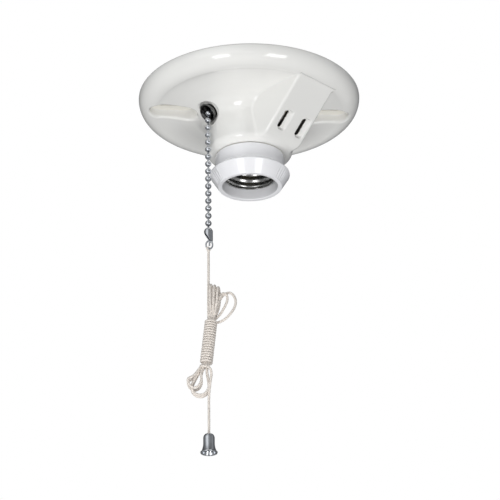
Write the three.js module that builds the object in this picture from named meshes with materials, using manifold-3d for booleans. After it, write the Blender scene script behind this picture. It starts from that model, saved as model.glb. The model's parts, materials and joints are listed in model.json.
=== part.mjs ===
// Ceiling lampholder of glazed porcelain with a pull-chain switch and a two-slot outlet boss.
// Millimetres. The origin is the centre of the back face, +Z points up into the ceiling,
// and the fixture hangs below it, so every height is negative.
import * as THREE from 'three';
import { mergeVertices } from 'three/addons/utils/BufferGeometryUtils.js';
import Module from 'manifold-3d';

const wasm = await Module();
wasm.setup();

// ---------------------------------------------------------------- driving dimensions
const gap = 0.3;                 // air between pieces that rest on or sit in each other
const overshoot = 1;             // how far a cutting tool runs past a face

const base = {
  radius: 57.15,                 // 4-1/2 in across
  edge: 1.5,                     // straight wall next to the ceiling
  roll: 8,                       // radius of the rolled rim
  rollEnd: 30,                   // degrees that the roll carries on past its lowest point
  slope: 9,                      // degrees of the cone between rim and hub
  cavity: 4.5,                   // depth of the hollow in the back
  rim: 5.2,                      // width of the flat ring that meets the ceiling
};
const hub = {
  radius: 22,
  depth: 34.4,
  edge: 3.5,                     // rounded lower edge
  fillet: 9,                     // sweep from the cone into the hub
  wall: 4.8,
  floor: 8.4,                    // thickness of the hub's floor
};
const mounting = {
  azimuth: 5,
  width: 12.6,                   // trough in the front that the screw head sits in
  inner: 33,                     // centres of the trough's round ends
  outer: 45.2,
  slotWidth: 5.6,
  slotInner: 34.9,               // half of 2-3/4 in, the 3-1/4 in box
  slotOuter: 44.45,              // half of 3-1/2 in, the 4 in box
  pad: 17,                       // width of the solid pad behind the trough
};
const shell = {
  crest: 13.6,                   // medium screw base
  root: 12.8,
  pitch: 3.63,
  turns: 5,
  sheet: 0.5,
  mouthUp: 5.2,                  // rim of the shell above the collar's mouth
  flangeHole: 5.2,
};
const collar = {
  height: 17.2,                  // hub to mouth
  flareUp: 6.7,                  // the sharp widest edge lies this far above the mouth
  step: 2.4,                     // height of the sloping step above that edge
  lip: 2.1,                      // flat land round the mouth
  clearance: 0.5,                // air round the screw shell
  spigotWall: 1.5,
  shoulder: 2.1,                 // the neck stands out this far past the spigot
  brim: 2.7,                     // the widest edge stands out this far past the neck
  spigot: 5.2,                   // part that goes up inside the hub
};
const collarBore = shell.crest + collar.clearance;
const spigotRadius = collarBore + collar.spigotWall;
const neckRadius = spigotRadius + collar.shoulder;
const flareRadius = neckRadius + collar.brim;
const insulator = { radius: 16.7, thickness: 4.1, neck: 4.6, neckDrop: 2.6 };
const contact = { length: 11, width: 6, sheet: 0.5, lift: 3, rivet: 1.1, head: 2 };
const shellScrew = { offset: 8.4, shank: 1.2, head: 2.3, headHeight: 1.1 };

const chain = {
  azimuth: -149,
  radius: 24.5,                  // distance of the hanging chain from the lamp's axis
  bead: 1.6,
  pitch: 4.17,
  link: 0.5,
  top: 19.4,                     // depth of the first bead that hangs below the guide
  count: 15,                     // beads between guide and coupling
  stroke: 7,
};
const guide = {
  tilt: 40,                      // degrees below level
  mouthR: 24.8,                  // centre of the mouth
  mouthZ: -15.3,
  bore: 2.6,
  wall: 0.6,
  lip: 5,
  flareBack: 4.4,                // the flare starts this far inside the mouth
  flareCurve: 1.4,               // 1 is a plain cone, more bends the flare outwards
  length: 7.5,
  pocket: 6.2,                   // counterbore in the porcelain round the mouth
  pocketDepth: 2.5,
  seat: 4,                       // porcelain clamped between the flare and the retainer
  retainer: 1.3,                 // width of the retaining ring round the guide
  channel: 0.5,                  // air round that ring
};
const housing = {
  back: -13.5,
  front: 14.6,
  halfWidth: 7.2,
  wall: 1.5,
  top: -2.2,
  cover: 1,
};
const pivot = { x: 8.75, z: -16.19, shaft: 1 };
const arm = { sheet: 0.4, forkAt: 15.22, hub: 2.4, hubHalf: 1, tine: 1.8, tip: 1.2, slot: 1.6,
  rib: 1.6 };
const rotor = { radius: 3, from: 1.3, to: 5.6, teeth: 8, tooth: 0.4 };
const outlet = {
  azimuth: -44,
  width: 24.8,                   // across the sloping face
  draft: 9,                      // degrees that the boss widens behind the face on each side
  topR: 48.5,                    // upper edge of the sloping face
  topZ: -8.5,
  bottomR: 24,                   // lower edge
  bottomZ: -32.5,
  wall: 4.2,
  slotAt: 25.5,                  // slot centres below the face's upper edge
  slotSpacing: 12.7,
  slotLength: 8.6,
  slotWidth: 2.2,
  bevel: 1.1,
};
const clip = { gap: 1.7, sheet: 0.5, width: 6.5, length: 9, start: 5.2 };
const terminal = { plate: 0.8, inner: 26.5, outer: 42.5, near: 9.5, far: 16.9, screwHead: 3.2,
  screwShank: 1.5, headHeight: 2, screwLength: 6, pocket: 0.5 };

const coupling = { top: 80, bottom: 87.2, radius: 2.35, wall: 0.4, eye: 1.75, wire: 0.5 };
const cord = {
  diameter: 1.3,
  upperEnd: 111.1,
  hankEnd: 169.9,
  lowerEnd: 190.5,
};
const hank = { thickness: 7.2, top: 111.4, bottom: 169.6 };
const bell = { top: 189.3, height: 9.9, crown: 2.75, mouth: 4.05, wall: 0.6, hole: 1.1, knot: 1.7,
  knotDrop: 3.2 };

// ---------------------------------------------------------------- shape helpers
const radians = THREE.MathUtils.degToRad;

function toSolid(geometry) {
  const bare = geometry.index ? geometry.toNonIndexed() : geometry.clone();
  bare.deleteAttribute('normal');
  bare.deleteAttribute('uv');
  const merged = mergeVertices(bare, 1e-4);
  return new wasm.Manifold(new wasm.Mesh({
    numProp: 3,
    vertProperties: new Float32Array(merged.attributes.position.array),
    triVerts: new Uint32Array(merged.index.array),
  }));
}

function toGeometry(solid) {
  const mesh = solid.getMesh();
  const geometry = new THREE.BufferGeometry();
  geometry.setAttribute('position', new THREE.BufferAttribute(mesh.vertProperties, 3));
  geometry.setIndex(new THREE.BufferAttribute(mesh.triVerts, 1));
  geometry.computeVertexNormals();
  return geometry;
}

const join = (...parts) => parts.map(asSolid).reduce((a, b) => a.add(b));
const cut = (whole, ...tools) => tools.map(asSolid).reduce((a, b) => a.subtract(b), asSolid(whole));
function asSolid(shape) {
  return shape.isBufferGeometry ? toSolid(shape) : shape;
}

// A closed profile of [radius, height] points, in either order, turned about the Z axis.
function lathe(profile, segments) {
  const points = profile.map(([r, z]) => new THREE.Vector2(r, z));
  if (THREE.ShapeUtils.area(points) < 0) {
    points.reverse();
  }
  return new THREE.LatheGeometry([...points, points[0].clone()], segments).rotateX(Math.PI / 2);
}

function cylinder(radius, low, high, segments = 24) {
  return lathe([[0, low], [radius, low], [radius, high], [0, high]], segments);
}

function ring(inner, outer, low, high, segments = 24) {
  return lathe([[inner, low], [outer, low], [outer, high], [inner, high]], segments);
}

function box(x0, x1, y0, y1, z0, z1) {
  return new THREE.BoxGeometry(x1 - x0, y1 - y0, z1 - z0)
    .translate((x0 + x1) / 2, (y0 + y1) / 2, (z0 + z1) / 2);
}

// The guide's flare from a throat radius to the mouth, as [radius, place on the guide's axis].
function guideFlare(throat, mouthEnd) {
  const steps = 4;
  const points = [];
  for (let i = 0; i <= steps; i += 1) {
    const t = i / steps;
    const spread = (guide.lip - guide.wall - guide.bore) * t ** guide.flareCurve;
    points.push([throat + spread, -guide.flareBack + (guide.flareBack + mouthEnd) * t]);
  }
  return points;
}

// A flat outline of [x, y] points or a Shape, pulled from one height to another.
function prism(outline, low, high, curveSegments = 8) {
  const shape = Array.isArray(outline)
    ? new THREE.Shape(outline.map(([x, y]) => new THREE.Vector2(x, y)))
    : outline;
  const depth = high - low;
  return new THREE.ExtrudeGeometry(shape, { depth, bevelEnabled: false, curveSegments })
    .translate(0, 0, low);
}

// An outline in the X-Z plane, given width along Y.
function sidePrism(outline, y0, y1, curveSegments = 8) {
  return prism(outline, -y1, -y0, curveSegments).rotateX(Math.PI / 2);
}

function arc(centreR, centreZ, radius, from, to, steps) {
  const points = [];
  for (let i = 0; i <= steps; i += 1) {
    const a = radians(from + ((to - from) * i) / steps);
    points.push([centreR + radius * Math.cos(a), centreZ + radius * Math.sin(a)]);
  }
  return points;
}

// A slot with round ends between two distances along X.
function roundedSlot(from, to, width, low, high, segments = 16) {
  const body = box(from, to, -width / 2, width / 2, low, high);
  const ends = [from, to].map((x) => cylinder(width / 2, low, high, segments).translate(x, 0, 0));
  return join(body, ...ends);
}

// Moves a shape whose own axis is Z onto the chain guide's axis, Z pointing out of the mouth.
function onGuideAxis(geometry) {
  return geometry.rotateY(Math.PI / 2 + radians(guide.tilt))
    .translate(guide.mouthR, 0, guide.mouthZ);
}

// Distance along the guide's axis from its mouth, outwards, to [x, z] in the chain's plane.
function guidePoint(s) {
  const t = radians(guide.tilt);
  return [guide.mouthR + s * Math.cos(t), guide.mouthZ - s * Math.sin(t)];
}

function sphere(radius, x, y, z, wide = 10, high = 6) {
  return new THREE.SphereGeometry(radius, wide, high).rotateX(Math.PI / 2).translate(x, y, z);
}

// A straight round bar between two points.
function bar(a, b, radius, segments = 10) {
  const from = new THREE.Vector3(...a);
  const along = new THREE.Vector3(...b).sub(from);
  const turn = new THREE.Quaternion().setFromUnitVectors(
    new THREE.Vector3(0, 0, 1), along.clone().normalize());
  return cylinder(radius, 0, along.length(), segments).applyQuaternion(turn)
    .translate(from.x, from.y, from.z);
}

// ---------------------------------------------------------------- materials
const material = (color, roughness, metalness) =>
  new THREE.MeshStandardMaterial({ color, roughness, metalness });
const porcelain = material(0xe9e8e3, 0.12, 0);
const collarGlaze = material(0xf1f1f4, 0.2, 0);
const nickel = material(0x9a9894, 0.22, 1);
const darkNickel = material(0x54524f, 0.25, 1);
const brass = material(0xb8923f, 0.35, 1);
const silverScrew = material(0xb9b9b4, 0.35, 1);
const steel = material(0x8b8d8f, 0.4, 1);
const phenolic = material(0x2b2320, 0.5, 0);
const fibre = material(0x6b5b48, 0.85, 0);
const cotton = material(0xd9d2c2, 0.95, 0);

const fixture = new THREE.Group();
const chainSide = new THREE.Group();
chainSide.rotation.z = radians(chain.azimuth);
const outletSide = new THREE.Group();
outletSide.rotation.z = radians(outlet.azimuth);
fixture.add(chainSide, outletSide);

function add(parent, name, shape, surface) {
  const geometry = shape.isBufferGeometry ? shape : toGeometry(shape);
  const mesh = new THREE.Mesh(geometry, surface);
  mesh.name = name;
  parent.add(mesh);
  return mesh;
}

// ---------------------------------------------------------------- shared heights
const mouthZ = -(hub.depth + collar.height);
const hubInner = hub.radius - hub.wall;
const hubFloor = -(hub.depth - hub.floor);
const insulatorLow = hubFloor + gap;
const insulatorHigh = insulatorLow + insulator.thickness;
const housingFloor = insulatorHigh + gap;
const shellTop = hubFloor - 0.7;
const shellMouth = mouthZ + shell.mouthUp;
const cavityOuter = base.radius - base.rim;

// ---------------------------------------------------------------- porcelain body
function bodyBlank() {
  const rollCentre = [base.radius - base.roll, -base.edge];
  const roll = arc(...rollCentre, base.roll, 0, -(90 + base.rollEnd), 9);
  const [creaseR, creaseZ] = roll[roll.length - 1];
  const slope = radians(base.slope);
  const filletR = hub.radius + hub.fillet;
  const filletZ = creaseZ - (creaseR - filletR) * Math.tan(slope) - hub.fillet / Math.cos(slope);
  const fillet = arc(filletR, filletZ, hub.fillet, 90 + base.slope, 180, 5);
  const edge = arc(hub.radius - hub.edge, -hub.depth + hub.edge, hub.edge, 0, -90, 4);
  return lathe([[0, 0], [base.radius, 0], ...roll, ...fillet, ...edge, [0, -hub.depth]], 64);
}

function outletBoss() {
  const half = outlet.width / 2;
  const draft = radians(outlet.draft);
  const wide = half + hub.depth * Math.tan(draft) + overshoot;
  const inside = hubInner + 0.5;
  const outline = [
    [outlet.topR, -base.cavity - overshoot],
    [outlet.topR, outlet.topZ],
    [outlet.bottomR, outlet.bottomZ],
    [outlet.bottomR - 1.6, -hub.depth + 0.8],
    [inside, -hub.depth + 0.8],
    [inside, -base.cavity - overshoot],
  ];
  const sides = [-1, 1].map((side) => {
    const beside = box(-base.radius, base.radius, Math.min(0, side * wide),
      Math.max(0, side * wide), -base.radius, overshoot);
    return onFace(beside.rotateX(side * draft).translate(0, side * half, 0), 0);
  });
  return cut(sidePrism(outline, -wide, wide), ...sides).rotate([0, 0, outlet.azimuth]);
}

// Unit vectors of the outlet's face in its own side frame: down the face, and out of it.
const faceRun = new THREE.Vector2(outlet.bottomR - outlet.topR, outlet.bottomZ - outlet.topZ);
const faceTilt = Math.atan2(-faceRun.y, -faceRun.x);
// Moves a shape drawn with X down the face and Z out of it onto the face.
function onFace(geometry, along) {
  const t = along / faceRun.length();
  return geometry.rotateY(Math.PI - faceTilt)
    .translate(outlet.topR + faceRun.x * t, 0, outlet.topZ + faceRun.y * t);
}

function outletHollow() {
  const run = faceRun.clone().normalize();
  const x = outlet.topR + run.y * outlet.wall;
  const z = outlet.topZ - run.x * outlet.wall;
  const fall = run.y / run.x;
  const wallAt = (r) => z + (r - x) * fall;
  const far = x - outlet.wall / 2;
  const low = hubFloor + gap;
  const near = x + (low - z) / fall;
  const half = outlet.width / 2 - outlet.wall;
  const start = hubInner - overshoot;
  return sidePrism([[start, overshoot], [far, overshoot], [far, wallAt(far)], [near, low],
    [start, low]], -half, half).rotateZ(radians(outlet.azimuth));
}

function outletSlots() {
  const cuts = [];
  for (const side of [-1, 1]) {
    const y = (side * outlet.slotSpacing) / 2;
    const half = outlet.slotLength / 2;
    const wide = outlet.slotWidth / 2;
    const slot = box(-half, half, y - wide, y + wide, -outlet.wall - overshoot, overshoot);
    const wider = box(-half - 0.6, half + 0.6, y - wide - 0.2, y + wide + outlet.bevel,
      -outlet.bevel, overshoot);
    for (const tool of [slot, wider]) {
      cuts.push(onFace(tool, outlet.slotAt).rotateZ(radians(outlet.azimuth)));
    }
  }
  return cuts;
}

function mountingCuts() {
  const tools = [];
  for (const half of [0, 180]) {
    const turn = radians(mounting.azimuth + half);
    const trough = roundedSlot(mounting.inner, mounting.outer, mounting.width,
      -hub.depth / 2, -base.cavity, 20);
    const slot = roundedSlot(mounting.slotInner, mounting.slotOuter, mounting.slotWidth,
      -base.cavity - overshoot, overshoot);
    tools.push(trough.rotate([0, 0, THREE.MathUtils.radToDeg(turn)]));
    tools.push(slot.rotate([0, 0, THREE.MathUtils.radToDeg(turn)]));
  }
  return tools;
}

function backHollow() {
  const dish = cylinder(cavityOuter, -base.cavity, overshoot, 60);
  const pads = [0, 180].map((half) => box(hub.radius + hub.wall, base.radius,
    -mounting.pad / 2, mounting.pad / 2, -hub.depth, hub.depth)
    .rotateZ(radians(mounting.azimuth + half)));
  return cut(dish, ...pads);
}

function terminalSpots() {
  const middle = (terminal.near + terminal.far) / 2;
  const margin = terminal.screwHead + 0.4;
  const spots = [];
  for (const side of [-1, 1]) {
    for (const x of [terminal.inner + margin, terminal.outer - margin]) {
      spots.push([x, side * middle]);
    }
  }
  return spots;
}

function porcelainBody() {
  const turnChain = (geometry) => geometry.rotateZ(radians(chain.azimuth));
  const hubBore = cylinder(hubInner, hubFloor, overshoot, 48);
  const collarSeat = cylinder(spigotRadius + gap, -hub.depth - overshoot, hubFloor + 0.1, 48);
  const pocket = turnChain(onGuideAxis(cylinder(guide.pocket, -guide.pocketDepth, 12, 24)));
  const holeRadius = guide.bore + guide.wall + gap;
  const flare = guideFlare(holeRadius, 0);
  const hole = turnChain(onGuideAxis(lathe([[0, -12], [holeRadius, -12], ...flare, [0, 0]], 20)));
  const channelRadius = guide.bore + guide.wall + guide.retainer + guide.channel;
  const channel = turnChain(onGuideAxis(
    cylinder(channelRadius, -20, -guide.pocketDepth - guide.seat, 20)));
  const screwPockets = terminalSpots().map(([x, y]) => cylinder(
    terminal.screwShank + terminal.pocket, -terminal.screwLength - 0.8, overshoot, 16)
    .translate(x, y, 0).rotateZ(radians(outlet.azimuth)));
  const tools = [hubBore, collarSeat, backHollow(), outletHollow(), pocket, hole, channel];
  return cut(join(bodyBlank(), outletBoss()), ...tools, ...mountingCuts(), ...outletSlots(),
    ...screwPockets);
}

// ---------------------------------------------------------------- lamp socket
function collarRing() {
  const top = -hub.depth - gap;
  const edgeZ = mouthZ + collar.flareUp;
  const mouthOuter = collarBore + collar.lip;
  const shoulder = top + gap + 0.2;
  return lathe([
    [collarBore, mouthZ],
    [mouthOuter, mouthZ],
    [flareRadius, edgeZ],
    [flareRadius - 0.15, edgeZ + 0.5],
    [neckRadius, edgeZ + collar.step],
    [neckRadius, top],
    [spigotRadius, top],
    [spigotRadius, shoulder + collar.spigot],
    [collarBore, shoulder + collar.spigot],
  ], 48);
}

function screwShell() {
  const outer = [];
  const steps = shell.turns * 4;
  const length = shellTop - shellMouth;
  const threaded = shell.turns * shell.pitch;
  for (let i = 0; i <= steps; i += 1) {
    const wave = 0.5 - 0.5 * Math.cos((2 * Math.PI * shell.turns * i) / steps);
    outer.push([shell.root + (shell.crest - shell.root) * wave,
      shellMouth + (length - threaded) * 0.2 + (threaded * i) / steps]);
  }
  const inner = outer.map(([r, z]) => [r - shell.sheet, z]).reverse();
  const cup = lathe([
    [shell.root, shellMouth],
    ...outer,
    [shell.root, shellTop],
    [shell.flangeHole, shellTop],
    [shell.flangeHole, shellTop - shell.sheet],
    [shell.root - shell.sheet, shellTop - shell.sheet],
    ...inner,
    [shell.root - shell.sheet, shellMouth],
  ], 24);
  const holes = [-1, 1].map((side) => cylinder(shellScrew.shank + gap, shellTop - 2, shellTop + 2, 12)
    .translate(side * shellScrew.offset, 0, 0));
  return cut(cup, ...holes);
}

function socketInsulator() {
  const disc = join(
    cylinder(insulator.radius, insulatorLow, insulatorHigh, 40),
    cylinder(insulator.neck, insulatorLow - insulator.neckDrop, insulatorHigh, 24),
  );
  const holes = [-1, 1].map((side) => cylinder(shellScrew.shank + gap, insulatorLow - overshoot,
    insulatorHigh + overshoot, 12).translate(side * shellScrew.offset, 0, 0));
  const rivetHole = cylinder(contact.rivet + gap, insulatorLow - insulator.neckDrop - overshoot,
    insulatorHigh + overshoot, 12);
  const turn = radians(outlet.azimuth - chain.azimuth);
  const strapNotch = box(14.2, 18, 1.1, 4.9, insulatorLow - overshoot, insulatorHigh + overshoot)
    .rotateZ(turn);
  return cut(disc, ...holes, rivetHole, strapNotch);
}

// The centre contact is one strip folded back under itself: a riveted base and a springy tongue.
const contactZ = insulatorLow - insulator.neckDrop - gap;
function contactBase() {
  const half = contact.length / 2;
  const strip = box(-half + 1.5, half, -contact.width / 2, contact.width / 2, -contact.sheet, 0);
  const hole = cylinder(contact.rivet + gap, -contact.sheet - overshoot, overshoot, 12);
  return cut(strip, hole).translate([0, 0, contactZ]);
}

function contactTongue() {
  const half = contact.length / 2;
  const low = -contact.lift;
  const fold = box(half - contact.sheet, half, -contact.width / 2, contact.width / 2,
    low - contact.sheet, -contact.sheet - gap);
  const tongue = box(-half + 1, half, -contact.width / 2, contact.width / 2,
    low - contact.sheet, low);
  const dimple = cut(sphere(1.5, 0, 0, low, 12, 6), box(-2, 2, -2, 2, low - 0.1, low + 2));
  return join(fold, tongue, dimple).translate([0, 0, contactZ]);
}

function centreRivet() {
  const head = contactZ - contact.sheet;
  const top = housingFloor + housing.wall + 1.4;
  return join(cylinder(contact.rivet, head - 0.5, top, 12),
    cylinder(contact.head, head - 0.8, head - gap, 16));
}

function shellScrewShape(side) {
  const underHead = shellTop - shell.sheet - gap;
  const head = cut(cylinder(shellScrew.head, underHead - shellScrew.headHeight, underHead, 16),
    box(-3, 3, -0.35, 0.35, underHead - 3, underHead - shellScrew.headHeight + 0.5));
  const shank = cylinder(shellScrew.shank, underHead - 0.2, housingFloor + housing.wall - 0.3, 12);
  return join(head, shank).translate([side * shellScrew.offset, 0, 0]);
}

// ---------------------------------------------------------------- pull switch
function switchHousing() {
  const { back, front, halfWidth: half, wall, top } = housing;
  const blank = box(back, front, -half, half, housingFloor, top);
  const hollow = box(back + wall, front - wall, -half + wall, half - wall,
    housingFloor + wall, top + overshoot);
  const window = box(front - wall - 0.5, front + overshoot, -3.4, 3.4, -15, top + overshoot);
  const notch = box(3.9, 7.1, half - wall - 0.5, half + overshoot, -3.6, top + overshoot);
  const screwHoles = [-1, 1].map((side) => cylinder(shellScrew.shank + gap,
    housingFloor - overshoot, housingFloor + wall + overshoot, 12)
    .translate(side * shellScrew.offset, 0, 0));
  const rivetHole = cylinder(contact.rivet + gap, housingFloor - 1, housingFloor + wall + 1, 12);
  const shaftHole = bar([pivot.x, -half - 1, pivot.z], [pivot.x, half + 1, pivot.z],
    pivot.shaft + gap, 12);
  return cut(blank, hollow, window, notch, ...screwHoles, rivetHole, shaftHole);
}

function switchCover() {
  const low = housing.top + gap;
  const plate = box(housing.back, housing.front, -housing.halfWidth, housing.halfWidth, low,
    low + housing.cover);
  const corner = box(housing.front - 4, housing.front + 1, -3.4, 3.4, low - 1, low + 3);
  return cut(plate, corner);
}

function rotorShaft() {
  const half = housing.halfWidth - 0.2;
  return bar([pivot.x, -half, pivot.z], [pivot.x, half, pivot.z], pivot.shaft, 12);
}

// The fork stands across the chain between its last two beads, square to the guide at mid stroke.
function pullArm() {
  const [forkX, forkZ] = guidePoint(-arm.forkAt);
  const dx = forkX - pivot.x;
  const dz = forkZ - pivot.z;
  const length = Math.hypot(dx, dz);
  const lean = Math.atan2(dx, dz);
  const eye = bar([0, -arm.hubHalf, 0], [0, arm.hubHalf, 0], arm.hub, 16);
  const rib = box(-arm.rib / 2, arm.rib / 2, -arm.hubHalf, arm.hubHalf, arm.hub - 0.6, length - 3.2);
  const yoke = box(-arm.rib / 2, arm.rib / 2, -arm.slot / 2 - arm.tine, arm.slot / 2 + arm.tine,
    length - 3.6, length - 2.4);
  const shape = [eye, rib, yoke];
  for (const side of [-1, 1]) {
    const y = side * (arm.slot + arm.tine) / 2;
    shape.push(box(-arm.sheet / 2, arm.sheet / 2, y - arm.tine / 2, y + arm.tine / 2,
      length - 2.8, length + arm.tip));
  }
  const bore = bar([0, -3, 0], [0, 3, 0], pivot.shaft + gap, 16);
  return cut(join(...shape), bore).rotate([0, THREE.MathUtils.radToDeg(lean), 0])
    .translate([pivot.x, 0, pivot.z]);
}

function ratchetRotor() {
  const teeth = [];
  for (let i = 0; i < rotor.teeth * 2; i += 1) {
    const a = (Math.PI * i) / rotor.teeth;
    const r = rotor.radius + (i % 2 ? rotor.tooth : 0);
    teeth.push([r * Math.cos(a), r * Math.sin(a)]);
  }
  const wheel = sidePrism(teeth, rotor.from, rotor.from + 1.2);
  const drum = bar([0, rotor.from + 1, 0], [0, rotor.to, 0], rotor.radius - 0.5, 16);
  const bore = bar([0, rotor.from - 1, 0], [0, rotor.to + 1, 0], pivot.shaft + gap, 16);
  return cut(join(wheel, drum), bore).translate([pivot.x, 0, pivot.z]);
}

function rotorContact() {
  const from = rotor.from + 1.5;
  const to = rotor.to - 0.4;
  const inner = rotor.radius - 0.5 + 0.1;
  const sleeve = cut(bar([0, from, 0], [0, to, 0], inner + 0.5, 20),
    bar([0, from - 1, 0], [0, to + 1, 0], inner, 20), box(0.6, 6, 0, 9, -6, 6));
  return sleeve.translate([pivot.x, 0, pivot.z]);
}

function pawl() {
  const reach = rotor.radius + rotor.tooth + gap;
  const leaf = box(-0.9, -0.5, arm.hubHalf + 0.1, rotor.from + 1.1, reach, reach + 2.6);
  const root = box(-0.9, -0.5, -arm.hubHalf, rotor.from + 1.1, reach + 1.8, reach + 2.6);
  return join(leaf, root).translate([pivot.x - 0.4, 0, pivot.z]);
}

function returnSpring() {
  const coil = cut(bar([0, -4.6, 0], [0, -1.5, 0], 2.2, 16),
    bar([0, -6, 0], [0, 0, 0], 1.5, 16));
  const fixedLeg = box(-6.2, -0.8, -4.6, -4, -2.1, -1.5);
  const armLeg = box(-2.1, -1.5, -2.1, -1.5, 0, 5.2);
  return join(coil, fixedLeg, armLeg).translate([pivot.x, 0, pivot.z]);
}

const leafX = pivot.x - rotor.radius - 0.1 - gap - 0.5;
function loadContact() {
  const foot = housingFloor + housing.wall + gap;
  const leaf = box(leafX - 0.5, leafX, 4.1, 5.1, foot, pivot.z + 3.5);
  const plate = box(-2.2, leafX, -2.2, 5.1, foot, foot + 0.5);
  return cut(join(leaf, plate), cylinder(contact.rivet + gap, foot - 1, foot + 2, 12));
}

function lineContact() {
  const leaf = box(leafX - 0.5, leafX, 2.7, 3.7, pivot.z - 1.4, -2.7);
  const tab = box(leafX - 0.5, leafX + 2, 2.7, 16, -3.2, -2.7);
  return join(leaf, tab);
}

function chainGuide() {
  const { bore, wall, length } = guide;
  const inner = guideFlare(bore, wall);
  const outer = guideFlare(bore + wall, 0);
  return onGuideAxis(lathe([[bore + wall, -length], ...outer, ...inner.reverse(), [bore, -length]], 20));
}

function guideRetainer() {
  const start = -guide.pocketDepth - guide.seat - gap;
  return onGuideAxis(ring(guide.bore + guide.wall + gap / 2, guide.bore + guide.wall + guide.retainer,
    start - 0.6, start, 20));
}

// ---------------------------------------------------------------- bead chain
function beadString(points) {
  const parts = points.map(([x, z]) => sphere(chain.bead, x, 0, z));
  for (let i = 1; i < points.length; i += 1) {
    const [ax, az] = points[i - 1];
    const [bx, bz] = points[i];
    parts.push(bar([ax, 0, az], [bx, 0, bz], chain.link, 8));
  }
  return join(...parts);
}

const hangZ = (index) => -(chain.top + index * chain.pitch);

function hangingBeads(first, last) {
  const points = [];
  for (let i = first; i <= last; i += 1) {
    points.push([chain.radius, hangZ(i)]);
  }
  const stub = chain.pitch - chain.bead - gap;
  const low = hangZ(last) - stub;
  return join(beadString(points),
    bar([chain.radius, 0, hangZ(last)], [chain.radius, 0, low], chain.link, 8));
}

const mouthBead = [chain.radius - 0.3, -15.25];
const throatBead = guidePoint(-4.85);
const innerFirst = 4.85 + chain.pitch;

function innerChain() {
  return beadString([0, 1, 2].map((i) => guidePoint(-(innerFirst + i * chain.pitch))));
}

// ---------------------------------------------------------------- outlet pieces
function outletClip(side) {
  const half = clip.gap / 2 + clip.sheet;
  const y = (side * outlet.slotSpacing) / 2;
  const deep = -clip.start - clip.length;
  const u = cut(
    box(-clip.width / 2, clip.width / 2, y - half, y + half, deep, -clip.start),
    box(-clip.width, clip.width, y - clip.gap / 2, y + clip.gap / 2, deep + clip.sheet, overshoot),
  );
  return onFaceSolid(u, outlet.slotAt);
}

function onFaceSolid(solid, along) {
  return asSolid(onFace(toGeometry(solid), along));
}

function clipStrap(side) {
  const half = clip.gap / 2 + clip.sheet;
  const y = (side * outlet.slotSpacing) / 2;
  const riser = box(19, 19.5, y - half, y + half, -13, -2.6);
  const run = box(19, terminal.inner + 1, y - half, y + half, -3.1, -2.6);
  return join(riser, run);
}

function terminalPlate(side) {
  const from = side > 0 ? terminal.near : -terminal.far;
  const to = side > 0 ? terminal.far : -terminal.near;
  const low = -base.cavity + gap;
  const plate = box(terminal.inner, terminal.outer, from, to, low, low + terminal.plate);
  const holes = terminalSpots().map(([x, y]) => cylinder(terminal.screwShank + gap, low - 1, low + 2, 12)
    .translate(x, y, 0));
  return cut(plate, ...holes);
}

function terminalScrew([x, y]) {
  const underHead = -base.cavity + gap + terminal.plate + gap;
  const head = cut(cylinder(terminal.screwHead, underHead, underHead + terminal.headHeight, 20),
    box(-5, 5, -0.45, 0.45, underHead + terminal.headHeight - 0.8, underHead + 5));
  const shank = cylinder(terminal.screwShank, -terminal.screwLength, underHead + 0.2, 12);
  return join(head, shank).translate([x, y, 0]);
}

function shellStrap() {
  const foot = insulatorLow - gap;
  const riser = box(14.6, 15.1, 1.5, 4.5, foot - 0.4, -2.6);
  const toe = box(11.5, 15.1, 1.5, 4.5, foot - 0.4, foot);
  const run = box(14.6, terminal.inner + 1, 1.5, 4.5, -3.1, -2.6);
  return join(riser, toe, run);
}

function lineStrap() {
  return box(15.6, terminal.inner - gap, -11.2, -7.9, -3.6, -3.1);
}

// ---------------------------------------------------------------- pull cord
function chainCoupling() {
  const { top, bottom, radius, wall } = coupling;
  const inner = radius - wall;
  const low = -bottom;
  const cup = lathe([
    [0.9, low],
    [1.5, low + 0.6],
    [radius, low + 3],
    [radius, -top],
    [inner, -top],
    [inner, low + 3.2],
    [1.2, low + 1.2],
    [0, low + 1.2],
    [0, low],
  ], 16);
  return asSolid(cup).translate([chain.radius, 0, 0]);
}

const eyeZ = -(coupling.bottom + gap + coupling.eye + coupling.wire);
function couplingEye() {
  const loop = new THREE.TorusGeometry(coupling.eye, coupling.wire, 6, 18);
  return loop.rotateX(Math.PI / 2).translate(chain.radius, 0, eyeZ);
}

function tube(points, diameter, steps) {
  const curve = new THREE.CatmullRomCurve3(points.map((p) => new THREE.Vector3(...p)));
  const section = new THREE.Shape();
  const sides = 8;
  for (let i = 0; i < sides; i += 1) {
    const a = (2 * Math.PI * i) / sides;
    const [x, y] = [(diameter / 2) * Math.cos(a), (diameter / 2) * Math.sin(a)];
    if (i === 0) {
      section.moveTo(x, y);
    } else {
      section.lineTo(x, y);
    }
  }
  section.closePath();
  return new THREE.ExtrudeGeometry(section, { steps, extrudePath: curve, bevelEnabled: false });
}

const chainX = chain.radius * Math.cos(radians(chain.azimuth));
const chainY = chain.radius * Math.sin(radians(chain.azimuth));
const eyeBottom = -eyeZ + coupling.eye + coupling.wire + gap;

function cordUpper() {
  return tube([[0, 0, -eyeBottom], [0, 0, -98], [0, 0, -105], [-0.05, -0.2, -cord.upperEnd]]
    .map(([x, y, z]) => [chainX + x, chainY + y, z]), cord.diameter, 8);
}

function cordLower() {
  return tube([[0, -0.5, -cord.hankEnd], [-0.1, 0, -173], [0, 0, -181], [0, 0, -cord.lowerEnd]]
    .map(([x, y, z]) => [chainX + x, chainY + y, z]), cord.diameter, 8);
}

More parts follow.
